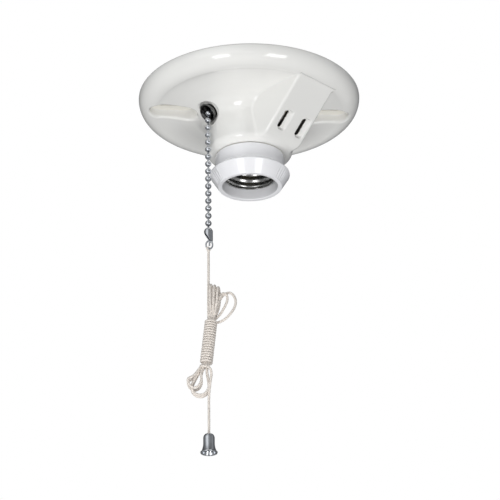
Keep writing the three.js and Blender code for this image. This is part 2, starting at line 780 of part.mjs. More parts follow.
// The outline of the tied hank: loops above, a wound waist, loops below.
function cordHank() {
  const outline = new THREE.Shape();
  outline.moveTo(-1, -hank.top);
  outline.bezierCurveTo(5, -hank.top, 13, -hank.top, 13.7, -119.5);
  outline.bezierCurveTo(13.9, -126, 9, -130, 4.6, -130.8);
  outline.lineTo(2.2, -154.5);
  outline.bezierCurveTo(2.4, -160, 1.6, -166, 0.8, -hank.bottom);
  outline.bezierCurveTo(-6, -hank.bottom, -10.9, -169, -10.8, -164.2);
  outline.bezierCurveTo(-10, -160, -6, -157, -4.7, -153.6);
  outline.lineTo(-2.2, -130.5);
  outline.closePath();
  const half = hank.thickness / 2;
  return sidePrism(outline, -half, half, 6).translate(chainX, chainY, 0);
}

function pullBell() {
  const { height, crown, mouth, wall, hole } = bell;
  const top = -bell.top;
  const outer = [];
  const steps = 8;
  for (let i = 0; i <= steps; i += 1) {
    const t = i / steps;
    const dome = crown * Math.sqrt(Math.max(0, 1 - (1 - Math.min(t / 0.35, 1)) ** 2));
    const flare = (mouth - crown) * Math.max(0, (t - 0.55) / 0.45) ** 2;
    outer.push([Math.max(hole + wall, dome + flare), top - height * t]);
  }
  const inner = outer.slice(1).map(([r, z]) => [r - wall, z]).reverse();
  return lathe([[hole, top], ...outer, ...inner.slice(0, -1), [hole, top - height / steps]], 20)
    .translate(chainX, chainY, 0);
}

function bellKnot() {
  return sphere(bell.knot, chainX, chainY, -(bell.top + bell.knotDrop), 10, 8);
}

// ---------------------------------------------------------------- assembly
add(fixture, 'porcelain_body', porcelainBody(), porcelain);
add(fixture, 'collar_ring', collarRing(), collarGlaze);
add(chainSide, 'screw_shell', screwShell(), brass);
add(chainSide, 'socket_insulator', socketInsulator(), phenolic);
add(chainSide, 'contact_base', contactBase(), brass);
add(chainSide, 'contact_tongue', contactTongue(), brass);
add(chainSide, 'centre_rivet', centreRivet(), brass);
add(chainSide, 'shell_screw_back', shellScrewShape(-1), steel);
add(chainSide, 'shell_screw_front', shellScrewShape(1), steel);

add(chainSide, 'switch_housing', switchHousing(), phenolic);
add(chainSide, 'switch_cover', switchCover(), fibre);
add(chainSide, 'rotor_shaft', rotorShaft(), steel);
add(chainSide, 'pull_arm', pullArm(), steel);
add(chainSide, 'pawl', pawl(), steel);
add(chainSide, 'ratchet_rotor', ratchetRotor(), phenolic);
add(chainSide, 'rotor_contact', rotorContact(), brass);
add(chainSide, 'return_spring', returnSpring(), steel);
add(chainSide, 'load_contact', loadContact(), brass);
add(chainSide, 'line_contact', lineContact(), brass);
add(chainSide, 'chain_guide', chainGuide(), darkNickel);
add(chainSide, 'guide_retainer', guideRetainer(), steel);

add(chainSide, 'inner_chain', innerChain(), nickel);
add(chainSide, 'throat_bead', sphere(chain.bead, throatBead[0], 0, throatBead[1]), nickel);
add(chainSide, 'mouth_bead', sphere(chain.bead, mouthBead[0], 0, mouthBead[1]), nickel);
const strings = [[0, 0], [1, 4], [5, 9], [10, 14]];
strings.forEach(([first, last], index) => {
  const names = ['chain_top_bead', 'chain_upper', 'chain_middle', 'chain_lower'];
  add(chainSide, names[index], hangingBeads(first, last), nickel);
});
add(chainSide, 'coupled_bead', sphere(chain.bead, chain.radius, 0, hangZ(chain.count)), nickel);
add(chainSide, 'chain_coupling', chainCoupling(), nickel);
add(chainSide, 'coupling_eye', couplingEye(), nickel);

add(outletSide, 'outlet_contact_hot', outletClip(-1), brass);
add(outletSide, 'outlet_contact_neutral', outletClip(1), brass);
add(outletSide, 'hot_strap', clipStrap(-1), brass);
add(outletSide, 'neutral_strap', clipStrap(1), brass);
add(outletSide, 'hot_terminal_plate', terminalPlate(-1), brass);
add(outletSide, 'neutral_terminal_plate', terminalPlate(1), silverScrew);
terminalSpots().forEach((spot, index) => {
  const hot = index < 2;
  const name = `${hot ? 'hot' : 'neutral'}_terminal_screw_${(index % 2) + 1}`;
  add(outletSide, name, terminalScrew(spot), hot ? brass : silverScrew);
});
add(outletSide, 'shell_strap', shellStrap(), brass);
add(outletSide, 'line_strap', lineStrap(), brass);

add(fixture, 'cord_upper', cordUpper(), cotton);
add(fixture, 'cord_hank', cordHank(), cotton);
add(fixture, 'cord_lower', cordLower(), cotton);
add(fixture, 'pull_bell', pullBell(), nickel);
add(fixture, 'bell_knot', bellKnot(), cotton);

export default fixture;
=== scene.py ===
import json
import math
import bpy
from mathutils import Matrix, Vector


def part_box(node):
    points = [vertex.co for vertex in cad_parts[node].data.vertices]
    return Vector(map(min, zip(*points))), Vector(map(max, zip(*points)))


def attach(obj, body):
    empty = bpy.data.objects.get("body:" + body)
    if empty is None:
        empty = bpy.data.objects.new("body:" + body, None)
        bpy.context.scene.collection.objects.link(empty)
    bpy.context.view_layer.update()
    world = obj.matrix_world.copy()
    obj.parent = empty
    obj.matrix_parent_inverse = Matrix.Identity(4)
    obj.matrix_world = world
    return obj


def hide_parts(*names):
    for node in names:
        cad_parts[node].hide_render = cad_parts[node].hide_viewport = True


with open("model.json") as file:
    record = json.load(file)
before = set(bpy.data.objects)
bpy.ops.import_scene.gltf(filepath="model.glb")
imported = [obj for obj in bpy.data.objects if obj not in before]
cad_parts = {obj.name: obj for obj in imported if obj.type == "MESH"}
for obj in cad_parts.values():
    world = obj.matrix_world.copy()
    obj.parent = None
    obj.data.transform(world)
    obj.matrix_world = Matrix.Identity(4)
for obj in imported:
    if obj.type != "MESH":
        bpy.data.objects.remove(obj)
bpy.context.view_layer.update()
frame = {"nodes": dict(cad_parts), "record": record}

# The looks of a porcelain ceiling lampholder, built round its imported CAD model.
# Shapes are written in millimetres, in the frame's own axes, and turned to metres
# when a mesh is made: +Z is up into the ceiling and every height is negative.
from types import SimpleNamespace as Sizes

import bmesh
import bpy
import numpy as np
from mathutils import Matrix, Vector

MM = 0.001

# ---------- sizes, as in the CAD model
BASE = Sizes(radius=57.15, edge=1.5, roll=8, roll_end=30, slope=9, cavity=4.5, rim=5.2)
HUB = Sizes(radius=22, depth=34.4, edge=3.5, fillet=9, wall=4.8, floor=8.4)
MOUNTING = Sizes(azimuth=5, width=12.6, inner=33, outer=45.2, slot_width=5.6, slot_inner=34.9,
                 slot_outer=44.45, pad=17)
COLLAR = Sizes(neck=17.7, height=17.2, flare=20.4, flare_up=6.7, step=2.4, lip=2.1, bore=14.1,
               spigot=5.2, spigot_radius=15.6)
SHELL = Sizes(crest=13.6, root=12.8, pitch=3.63, sheet=0.5, mouth_up=5.2, flange_hole=5.2)
CHAIN = Sizes(azimuth=-149, radius=24.5, bead=1.6, pitch=4.17, top=19.4, count=15)
GUIDE = Sizes(tilt=40, mouth_r=24.8, mouth_z=-15.3, bore=2.6, wall=0.6, lip=5, flare_back=4.4,
              flare_curve=1.4, length=7.5, pocket=6.2, pocket_depth=2.5, seat=4)
OUTLET = Sizes(azimuth=-44, width=24.8, draft=9, top_r=48.5, top_z=-8.5, bottom_r=24,
               bottom_z=-32.5, wall=4.2, slot_at=25.5, slot_spacing=12.7, slot_length=8.6,
               slot_width=2.2)
GAP = 0.3

HUB_INNER = HUB.radius - HUB.wall
HUB_FLOOR = -(HUB.depth - HUB.floor)
MOUTH_Z = -(HUB.depth + COLLAR.height)
SHELL_TOP = HUB_FLOOR - 0.7
SHELL_MOUTH = MOUTH_Z + SHELL.mouth_up


def turn(azimuth):
    """Unit vector that points outwards from the lamp's axis at an azimuth in degrees."""
    a = math.radians(azimuth)
    return np.array([math.cos(a), math.sin(a), 0.0])


CHAIN_OUT = turn(CHAIN.azimuth)
CHAIN_SIDE = turn(CHAIN.azimuth + 90)
CHAIN_LINE = CHAIN_OUT * CHAIN.radius
UP = np.array([0.0, 0.0, 1.0])


def put(name, data):
    """A new object in the scene."""
    made = bpy.data.objects.new(name, data)
    bpy.context.scene.collection.objects.link(made)
    return made


# ---------- camera
def make_camera():
    """A long lens well below the fixture, looking up at its underside."""
    target = np.array([-0.4, 0, -86.8])
    distance = 1100
    pitch = math.radians(24.98)
    roll = 0.0115
    forward = np.array([0, math.cos(pitch), math.sin(pitch)])
    raised = np.array([0, -math.sin(pitch), math.cos(pitch)])
    right = np.array([1.0, 0, 0]) - roll * raised
    right /= np.linalg.norm(right)
    raised = np.cross(right, forward)
    place = target - distance * forward
    data = bpy.data.cameras.new("camera")
    data.lens = 157.6
    data.sensor_width = 36
    data.clip_start = 0.01
    data.clip_end = 20
    camera = put("camera", data)
    turned = Matrix([list(axis) for axis in (right, raised, -forward)]).transposed().to_4x4()
    camera.matrix_world = Matrix.Translation(Vector(place * MM)) @ turned
    bpy.context.scene.camera = camera


make_camera()


# ---------- mesh helpers
REMADE = set()


def make_piece(name, verts, faces, body, slot, replaced=(), normals=None):
    """A mesh from points in millimetres, riding on a body and standing for CAD nodes."""
    mesh = bpy.data.meshes.new(name)
    mesh.from_pydata((np.asarray(verts, float) * MM).tolist(), [], [list(f) for f in faces])
    mesh.update()
    mesh.shade_smooth()
    if normals is not None:
        mesh.normals_split_custom_set_from_vertices(np.asarray(normals, float).tolist())
    piece = put(name, mesh)
    dress(piece, body, slot, replaced)
    return piece


def dress(piece, body, slot, replaced=()):
    """Puts a piece on its body, gives it its slot's material and hides what it replaces."""
    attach(piece, body)
    if replaced:
        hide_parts(*replaced)
        REMADE.update(replaced)
    piece.data.materials.clear()
    piece.data.materials.append(MATERIALS[slot])


def grid_faces(rows, columns, closed_rows=False, closed_columns=False):
    """Quads of a grid of points stored row by row."""
    r = np.arange(rows if closed_rows else rows - 1)
    c = np.arange(columns if closed_columns else columns - 1)
    i, j = np.meshgrid(r, c, indexing="ij")
    i, j = i.ravel(), j.ravel()
    k, m = (i + 1) % rows, (j + 1) % columns
    return np.stack([i * columns + j, i * columns + m, k * columns + m, k * columns + j], 1)


def round_corners(points):
    """An outline of (x, y, radius) corners, with each corner turned into an arc."""
    steps = 5
    out = []
    count = len(points)
    for i, (x, y, radius) in enumerate(points):
        p = np.array([x, y], float)
        before = np.array(points[i - 1][:2], float) - p
        after = np.array(points[(i + 1) % count][:2], float) - p
        a, b = np.linalg.norm(before), np.linalg.norm(after)
        before, after = before / a, after / b
        half = math.acos(np.clip(before @ after, -1, 1)) / 2
        reach = min(radius / max(math.tan(half), 1e-6), a * 0.48, b * 0.48)
        if radius <= 0 or half > 1.55:
            out.append(p)
            continue
        r = reach * math.tan(half)
        middle = p + (before + after) / np.linalg.norm(before + after) * r / math.sin(half)
        start = p + before * reach - middle
        end = p + after * reach - middle
        for k in range(steps + 1):
            t = k / steps
            arm = start * (1 - t) + end * t
            out.append(middle + arm / np.linalg.norm(arm) * r)
    return np.array(out)


def revolve(profile, segments, reshape=None):
    """A closed ring of (radius, height) points turned about Z. Every radius is above zero.
    reshape(radius, height, angles) may move the points, in rows of profile by angle."""
    profile = np.asarray(profile, float)
    angle = np.linspace(0, 2 * math.pi, segments, endpoint=False)
    radius = np.repeat(profile[:, :1], segments, 1)
    height = np.repeat(profile[:, 1:], segments, 1)
    angles = np.repeat(angle[None, :], len(profile), 0)
    if reshape:
        radius, height = reshape(radius, height, angles)
    verts = np.stack([radius * np.cos(angles), radius * np.sin(angles), height], -1)
    faces = grid_faces(len(profile), segments, True, True)
    area = np.sum(profile[:, 0] * np.roll(profile[:, 1], -1)
                  - np.roll(profile[:, 0], -1) * profile[:, 1])
    if area <= 0:
        faces = faces[:, ::-1]
    return verts.reshape(-1, 3), faces


def frame_from(axis):
    """Three unit columns whose last is the given axis."""
    z = np.asarray(axis, float) / np.linalg.norm(axis)
    helper = np.array([0, 1.0, 0]) if abs(z[1]) < 0.9 else np.array([1.0, 0, 0])
    x = np.cross(helper, z)
    x /= np.linalg.norm(x)
    return np.stack([x, np.cross(z, x), z], 1)


def placed(shape, axis, origin):
    """A shape drawn about Z, turned onto an axis and moved to an origin."""
    verts, faces = shape
    return verts @ frame_from(axis).T + np.asarray(origin, float), faces


def together(*shapes):
    """Several shapes as one list of points and faces."""
    verts, faces, offset = [], [], 0
    for v, f in shapes:
        verts.append(v)
        faces.extend([[i + offset for i in face] for face in f])
        offset += len(v)
    return np.concatenate(verts), faces


def spline(points, spacing):
    """Evenly spaced points on a centripetal Catmull-Rom curve through the given ones."""
    p = np.asarray(points, float)
    p = np.vstack([2 * p[0] - p[1], p, 2 * p[-1] - p[-2]])
    out = []

    def mix(a, b, start, end):
        return (end - t) / (end - start) * a + (t - start) / (end - start) * b

    for i in range(1, len(p) - 2):
        a, b, c, d = p[i - 1:i + 3]
        t0 = 0
        t1 = t0 + max(np.linalg.norm(b - a), 1e-9) ** 0.5
        t2 = t1 + max(np.linalg.norm(c - b), 1e-9) ** 0.5
        t3 = t2 + max(np.linalg.norm(d - c), 1e-9) ** 0.5
        count = max(4, int(np.linalg.norm(c - b) / (spacing * 0.5)))
        t = np.linspace(t1, t2, count, endpoint=False)[:, None]
        ab, bc, cd = mix(a, b, t0, t1), mix(b, c, t1, t2), mix(c, d, t2, t3)
        abc, bcd = mix(ab, bc, t0, t2), mix(bc, cd, t1, t3)
        out.append(mix(abc, bcd, t1, t2))
    return evenly(np.vstack(out + [p[-2:-1]]), spacing)


def evenly(points, spacing):
    """The same line with its points a fixed distance apart."""
    run = np.concatenate([[0], np.cumsum(np.linalg.norm(np.diff(points, axis=0), axis=1))])
    count = max(2, int(round(run[-1] / spacing)) + 1)
    at = np.linspace(0, run[-1], count)
    return np.stack([np.interp(at, run, points[:, k]) for k in range(3)], 1)


def relaxed(points, rounds):
    """Rounds off a line's tight bends and leaves its ends where they are."""
    p = points.copy()
    for _ in range(rounds):
        p[1:-1] = 0.5 * p[1:-1] + 0.25 * (p[:-2] + p[2:])
    return p


def tube(path, section):
    """A tube with closed ends. section(step) gives that ring's (x, y) points."""
    along = np.gradient(path, axis=0)
    along /= np.linalg.norm(along, axis=1, keepdims=True)
    side = np.cross(along[0], UP if abs(along[0][2]) < 0.9 else np.array([1.0, 0, 0]))
    rings = []
    for i, (p, t) in enumerate(zip(path, along)):
        side = side - t * (side @ t)
        side /= np.linalg.norm(side)
        xy = section(i)
        rings.append(p + xy[:, :1] * side + xy[:, 1:] * np.cross(t, side))
    columns = len(rings[0])
    faces = grid_faces(len(rings), columns, False, True).tolist()
    faces.append(list(range(columns))[::-1])
    faces.append([(len(rings) - 1) * columns + k for k in range(columns)])
    return np.vstack(rings), faces


# ---------- distance fields
def smooth_max(a, b, k):
    """The larger of two fields, with their corner rounded over a width k."""
    h = np.maximum(k - np.abs(a - b), 0) / k
    return np.maximum(a, b) + h * h * k * 0.25


def smooth_min(a, b, k):
    return -smooth_max(-a, -b, k)


def outline_table(points, low, high, step):
    """Signed distance to a closed outline, negative inside, as a function of two arrays."""
    xs = np.arange(low[0], high[0] + step, step)
    ys = np.arange(low[1], high[1] + step, step)
    x, y = np.meshgrid(xs, ys, indexing="ij")
    best = np.full(x.shape, 1e9)
    inside = np.zeros(x.shape, bool)
    for (ax, ay), (bx, by) in zip(points, np.roll(points, -1, 0)):
        dx, dy = bx - ax, by - ay
        t = np.clip(((x - ax) * dx + (y - ay) * dy) / max(dx * dx + dy * dy, 1e-12), 0, 1)
        best = np.minimum(best, (x - ax - t * dx) ** 2 + (y - ay - t * dy) ** 2)
        if dy != 0:
            inside ^= ((ay > y) != (by > y)) & (x < dx * (y - ay) / dy + ax)
    table = np.where(inside, -1, 1) * np.sqrt(best)

    def look_up(u, v):
        i = np.clip((u - low[0]) / step, 0, len(xs) - 1.001)
        j = np.clip((v - low[1]) / step, 0, len(ys) - 1.001)
        i0, j0 = i.astype(int), j.astype(int)
        fi, fj = i - i0, j - j0
        return ((table[i0, j0] * (1 - fi) + table[i0 + 1, j0] * fi) * (1 - fj)
                + (table[i0, j0 + 1] * (1 - fi) + table[i0 + 1, j0 + 1] * fi) * fj)
    return look_up


def surface_nets(field, low, high, step):
    """The skin where a field crosses zero, as points, quads and unit normals."""
    axes = [np.arange(a, b + step, step) for a, b in zip(low, high)]
    d = field(*np.meshgrid(*axes, indexing="ij")).astype(np.float32)
    inside = d < 0
    shape = np.array(d.shape) - 1
    corners = [(i, j, k) for i in (0, 1) for j in (0, 1) for k in (0, 1)]

    def corner(values, c):
        return values[c[0]:c[0] + shape[0], c[1]:c[1] + shape[1], c[2]:c[2] + shape[2]]

    count = sum(corner(inside, c).astype(np.int8) for c in corners)
    cells = np.argwhere((count > 0) & (count < 8))
    total = np.zeros((len(cells), 3))
    hits = np.zeros(len(cells))
    for a in corners:
        for axis in range(3):
            if a[axis]:
                continue
            b = tuple(1 if k == axis else a[k] for k in range(3))
            da = d[tuple((cells + a).T)]
            db = d[tuple((cells + b).T)]
            cross = (da < 0) != (db < 0)
            t = np.where(cross, da / np.where(cross, da - db, 1), 0)
            point = np.array(a, float) + t[:, None] * (np.array(b) - np.array(a))
            total += np.where(cross[:, None], point, 0)
            hits += cross
    verts = np.array(low) + (cells + total / hits[:, None]) * step
    index = np.full(tuple(shape), -1)
    index[tuple(cells.T)] = np.arange(len(cells))
    faces = []
    for axis in range(3):
        first = np.take(inside, range(d.shape[axis] - 1), axis)
        second = np.take(inside, range(1, d.shape[axis]), axis)
        edges = np.argwhere(first != second)
        u, v = [k for k in range(3) if k != axis]
        keep = (edges[:, u] > 0) & (edges[:, v] > 0)
        keep &= (edges[:, u] < shape[u]) & (edges[:, v] < shape[v])
        edges = edges[keep]
        quad = []
        for du, dv in ((-1, -1), (0, -1), (0, 0), (-1, 0)):
            cell = edges.copy()
            cell[:, u] += du
            cell[:, v] += dv
            quad.append(index[tuple(cell.T)])
        quad = np.stack(quad, 1)
        flip = first[tuple(edges.T)] == (axis == 1)
        quad[flip] = quad[flip][:, ::-1]
        faces.append(quad)
    faces = np.vstack(faces)
    for _ in range(3):
        value, slope = gradient(field, verts)
        size = np.maximum(np.sum(slope ** 2, 1), 0.2)
        move = -(value / size)[:, None] * slope
        length = np.linalg.norm(move, axis=1, keepdims=True)
        verts = verts + move * np.minimum(1, 0.4 * step / np.maximum(length, 1e-9))
    _, slope = gradient(field, verts)
    normals = slope / np.maximum(np.linalg.norm(slope, axis=1, keepdims=True), 1e-9)
    return verts, faces, normals


def gradient(field, points, reach=0.02):
    """A field's value and slope at some points."""
    value = field(*points.T)
    slope = np.stack([(field(*(points + reach * e).T) - field(*(points - reach * e).T))
                      / (2 * reach) for e in np.eye(3)], 1)
    return value, slope


# ---------- materials
COLOURS = {m["slot"]: m["base_color"][:3] for m in frame["record"]["materials"]}


def fill(node, values):
    """Sets a node's inputs by name, with _ for a space."""
    for socket, value in values.items():
        node.inputs[socket.replace("_", " ")].default_value = value
    return node


def add_node(nodes, kind, **values):
    return fill(nodes.new("ShaderNode" + kind), values)


def make_material(slot, roughness, metallic=0.0, spread=0.04, grain=120, uneven=0.03, bump=0.0,
                  bump_grain=900, stretch=(1, 1, 1), **sockets):
    """A shader with slow colour change, uneven polish and a fine relief.
    spread is the share that the colour varies by, and bump the relief's depth in millimetres."""
    made = bpy.data.materials.new(slot)
    made.use_nodes = True
    nodes, links = made.node_tree.nodes, made.node_tree.links
    shader = nodes["Principled BSDF"]
    where = nodes.new("ShaderNodeTexCoord")
    scaled = add_node(nodes, "Mapping", Scale=stretch)
    links.new(where.outputs["Object"], scaled.inputs["Vector"])

    def noise(scale, detail, seed):
        texture = nodes.new("ShaderNodeTexNoise")
        texture.noise_dimensions = "4D"
        fill(texture, dict(W=seed, Scale=scale, Detail=detail))
        links.new(scaled.outputs["Vector"], texture.inputs["Vector"])
        return texture.outputs["Fac"]

    colour = nodes.new("ShaderNodeValToRGB")
    base = COLOURS[slot]
    ramp = colour.color_ramp.elements
    ramp[0].position, ramp[1].position = 0.35, 0.65
    ramp[0].color = [min(1, c * (1 - spread)) for c in base] + [1]
    ramp[1].color = [min(1, c * (1 + spread)) for c in base] + [1]
    links.new(noise(grain, 4, 1.7), colour.inputs["Fac"])
    links.new(colour.outputs["Color"], shader.inputs["Base Color"])

    polish = add_node(nodes, "MapRange", From_Min=0.3, From_Max=0.7,
                      To_Min=max(0, roughness - uneven), To_Max=roughness + uneven)
    links.new(noise(grain * 2.3, 3, 5.1), polish.inputs["Value"])
    links.new(polish.outputs["Result"], shader.inputs["Roughness"])

    if bump:
        relief = add_node(nodes, "Bump", Strength=0.6, Distance=bump * MM)
        links.new(noise(bump_grain, 2, 9.3), relief.inputs["Height"])
        links.new(relief.outputs["Normal"], shader.inputs["Normal"])
    fill(shader, dict(Metallic=metallic, **sockets))
    return made


def multiplied(nodes, links, first, second):
    """The product of two colours, as an output socket."""
    blend = nodes.new("ShaderNodeMix")
    blend.data_type = "RGBA"
    blend.blend_type = "MULTIPLY"
    factor, colour_a, colour_b, colour_out = 0, 6, 7, 2
    blend.inputs[factor].default_value = 1
    links.new(first, blend.inputs[colour_a])
    links.new(second, blend.inputs[colour_b])
    return blend.outputs[colour_out]


def leave_unglazed_and_paint_slot_shade(made):
    """Bare biscuit where the glaze stops, and painted shade: near-black walls round and behind the
    outlet's slots, standing for the shadow inside them.
    """
    nodes, links = made.node_tree.nodes, made.node_tree.links
    shader = nodes["Principled BSDF"]
    bisque_and_shade = nodes.new("ShaderNodeAttribute")
    bisque_and_shade.attribute_name = "biscuit_and_slot_shade"
    tone = nodes.new("ShaderNodeValToRGB")
    stops = tone.color_ramp.elements
    stops[0].color = (1, 1, 1, 1)
    # painted shade: the near-black stop darkens the slot walls, standing for the shadow inside the
    # slots
    stops[1].color = (0.03, 0.03, 0.03, 1)
    stops.new(0.5).color = (0.93, 0.91, 0.86, 1)
    links.new(bisque_and_shade.outputs["Fac"], tone.inputs["Fac"])
    glazed = shader.inputs["Base Color"].links[0].from_socket
    shade = multiplied(nodes, links, glazed, tone.outputs["Color"])
    links.new(shade, shader.inputs["Base Color"])
    dull = nodes.new("ShaderNodeMath")
    dull.operation = "MULTIPLY_ADD"
    dull.inputs[1].default_value = 0.9
    links.new(bisque_and_shade.outputs["Fac"], dull.inputs[0])
    links.new(shader.inputs["Roughness"].links[0].from_socket, dull.inputs[2])
    links.new(dull.outputs["Value"], shader.inputs["Roughness"])


MATERIALS = {
    "porcelain": make_material("porcelain", 0.1, spread=0.02, grain=25, bump=0.02, bump_grain=90,
                               Coat_Weight=0.7, Coat_Roughness=0.03),
    "collar_glaze": make_material("collar_glaze", 0.2, spread=0.012, grain=40, bump=0.01,
                                  bump_grain=150, Coat_Weight=0.45, Coat_Roughness=0.06),
    "nickel": make_material("nickel", 0.16, 1, spread=0.07, grain=500, uneven=0.05, bump=0.008,
                            bump_grain=1200),
    "dark_nickel": make_material("dark_nickel", 0.15, 1, spread=0.15, grain=300, uneven=0.05,
                                 bump=0.01, bump_grain=900),
    "brass": make_material("brass", 0.28, 1, spread=0.1, grain=300, uneven=0.08, bump=0.01,
                           bump_grain=2500, stretch=(1, 1, 0.15)),
    "shell_metal": make_material("shell_metal", 0.26, 1, spread=0.08, grain=200, uneven=0.06,
                                 bump=0.006, bump_grain=1500, stretch=(1, 1, 0.2)),
    "silver": make_material("silver", 0.25, 1, spread=0.06, grain=400, uneven=0.06, bump=0.008,
                            bump_grain=2000),
    "steel": make_material("steel", 0.3, 1, spread=0.1, grain=350, uneven=0.08, bump=0.01,
                           bump_grain=2200),
    "phenolic": make_material("phenolic", 0.4, spread=0.15, grain=350, uneven=0.08, bump=0.02,
                              bump_grain=1600),
    "fibre": make_material("fibre", 0.85, spread=0.16, grain=900, uneven=0.05, bump=0.05,
                           bump_grain=2600, stretch=(1, 0.3, 1)),
    "cotton": make_material("cotton", 0.85, spread=0.09, grain=1500, uneven=0.05, bump=0.06,
                            bump_grain=6000, Sheen_Weight=0.35, Sheen_Roughness=0.5),
}

leave_unglazed_and_paint_slot_shade(MATERIALS["porcelain"])


# ---------- pull cord
CORD = Sizes(diameter=1.3, wrap=2.6, turns=17, turn_pitch=1.3, exit=-92.3, end=-190.5)


def hank_core(offset, low=False):
    """A run's end inside the hank's wound waist, which leans to the left as it goes down."""
    across, back = offset
    return (across - 2.5, back, -153) if low else (across, back, -130.5)


def low_loop(start, end, left, low, right, back):
    """A loop below the waist, from one strand to the next, given its extremes and its depth."""
    return [hank_core(start), hank_core(start, True), (left * 0.42 - 0.6, back * 0.5, -156.6),
            (left * 0.76, back * 0.9, -160.4), (left, back, low + 4.6),
            (left * 0.9 + right * 0.1, back, low + 1.6),
            (left * 0.6 + right * 0.4, back, low + 0.1),
            (left * 0.25 + right * 0.75, back, low + 0.5), (right, back, low + 3.4),
            (right - 0.1, back * 0.9, low + 7.5), (right * 0.6 - 0.9, back * 0.6, -156.6),
            hank_core(end, True), hank_core(end)]


def top_fold(x, top):
    """A fold above the waist, seen edge-on: up at the front, over and down at the back."""
    reach = 2.7
    over = [(x + 0.2 * k, -reach * math.cos(math.radians(a)),
             top - reach + reach * math.sin(math.radians(a)))
            for k, a in enumerate((0, 36, 72, 108, 144, 180))]
    return ([(x * 0.6 + 0.5, -1.8, -126.5), (x * 0.9 + 0.1, -reach, -121)] + over
            + [(x + 0.8, reach, -121), (x * 0.6 + 1.1, 1.8, -126.5)])


def cord_route():
    """The cord's points relative to the chain's line: down, the hank's folds, its winding."""
    strands = [(1.2, 0)] + [(1.2 - 1.35 * math.cos(a), -1.35 * math.sin(a))
                            for a in np.radians(np.arange(20, 380, 40))]
    down = [(0, 0, CORD.exit), (0, 0, -98), (0, 0, -105), (-0.05, -0.2, -112),
            (-0.1, -0.8, -120), (-0.1, -0.9, -126)]
    small_loop = [(3.0, -0.6, -127.5), (4.0, -0.9, -124), (4.9, -1.0, -120.5),
                  (5.9, -0.9, -117.6), (7.4, -0.6, -116.2), (8.9, -0.2, -117.2),
                  (9.2, 0.1, -119.8), (7.8, 0.5, -123.2), (5.9, 0.9, -126.5), (3.6, 1.2, -129)]
    big_loop = [(3.4, 0.4, -127), (4.4, 0.9, -122.6), (5.8, 1.3, -118.6), (7.8, 1.4, -116.0),
                (10.3, 1.0, -115.3), (12.3, 0.6, -117.0), (13.3, 0.3, -120.2),
                (12.8, 0, -123.4), (11.0, -0.2, -126.6), (8.6, 0.6, -129),
                (6.2, 1.6, -130.3), (4.0, 2.5, -130.6)]
    lying, hanging = (-10, -166.4, -3.6), (-8.2, -169.8, -0.1)
    route = down + low_loop(strands[1], strands[2], *lying, -2.3)
    folds = ((0.8, -111.6, -1.2), (2.6, -112.1, 0.3), (4.4, -113.0, 1.8))
    for k, (x, top, back) in enumerate(folds):
        route += top_fold(x, top) + low_loop(strands[9 - k], strands[3 + k], *hanging, back)
    route += small_loop + low_loop(strands[6], strands[0], *lying, 1.6) + big_loop
    per_turn, waist, lean = 16, 22.5, 2.5
    for i in range(CORD.turns * per_turn + 1):
        fall = i / per_turn * CORD.turn_pitch
        angle = math.radians(90) + 2 * math.pi * i / per_turn
        share = fall / waist
        route.append((1.2 - lean * share + CORD.wrap * math.cos(angle),
                      CORD.wrap * math.sin(angle), -130.8 - fall))
    return route + [(-3.6, 1.4, -153.8), (-3.8, -0.8, -154.6), (-2.2, -2.9, -155.4),
                    (0.4, -3.2, -156.5), (1.3, -2.6, -159), (0.8, -1.8, -163),
                    (0.2, -0.8, -168), (0, 0, -172), (0, 0, -178), (0, 0, -184),
                    (0, 0, CORD.end)]


def twisted_section(radius, strands, twist):
    """A ring of a twisted cord: strands side by side, turned a little more at each step."""
    angle = np.linspace(0, 2 * math.pi, 8 * strands, endpoint=False)
    lobe = 0.86 + 0.16 * np.abs(np.cos(strands * angle / 2))

    def section(step):
        a = angle + twist * step
        return radius * lobe[:, None] * np.stack([np.cos(a), np.sin(a)], 1)
    return section


def make_cord():
    spacing = 0.22
    line = relaxed(spline(cord_route(), spacing), 12)
    line = evenly(line, spacing) + CHAIN_LINE
    lay_length = 3.0
    twist = 2 * math.pi * spacing / lay_length
    verts, faces = tube(line, twisted_section(CORD.diameter / 2, 3, twist))
    cord = make_piece("pull_cord", verts, faces, "cord", "cotton",
                      ("cord_upper", "cord_hank", "cord_lower"))
    return cord, line


def knot_path(size, turns_z, count=120):
    """A trefoil knot's line, flattened along its own axis."""
    t = np.linspace(0, 2 * math.pi, count, endpoint=False)
    return size * np.stack([np.sin(t) + 2 * np.sin(2 * t), np.cos(t) - 2 * np.cos(2 * t),
                            -turns_z * np.sin(3 * t)], 1) / 3


def closed_tube(path, section):
    """A tube along a closed line."""
    wrapped = np.vstack([path[-3:], path, path[:3]])
    verts, _ = tube(wrapped, section)
    columns = len(verts) // len(wrapped)
    verts = verts[3 * columns:-3 * columns]
    return verts, grid_faces(len(path), columns, True, True).tolist()


def make_knots():
    """The hitch round the coupling's eye and the knot inside the bell."""
    t = np.linspace(0, 2 * math.pi, 60, endpoint=False)
    loop_line = np.stack([0.15 * np.sin(2 * t), 0.9 * np.sin(t), 0.85 * np.cos(t)], 1)
    loop, loop_faces = closed_tube(loop_line, twisted_section(0.42, 3, 0.0))
    loop = loop @ np.stack([CHAIN_SIDE, CHAIN_OUT, UP]) + CHAIN_LINE + np.array([0, 0, -91.85])
    eye_hitch = make_piece("eye_hitch", loop, loop_faces, "cord", "cotton")
    low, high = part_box("bell_knot")
    centre = (np.array(low) + np.array(high)) / 2 / MM
    end, end_faces = closed_tube(knot_path(1.15, 1.4), twisted_section(0.6, 3, 0.0))
    bell_knot = make_piece("bell_end_knot", end + centre, end_faces, "cord", "cotton",
                           ("bell_knot",))
    return eye_hitch, bell_knot


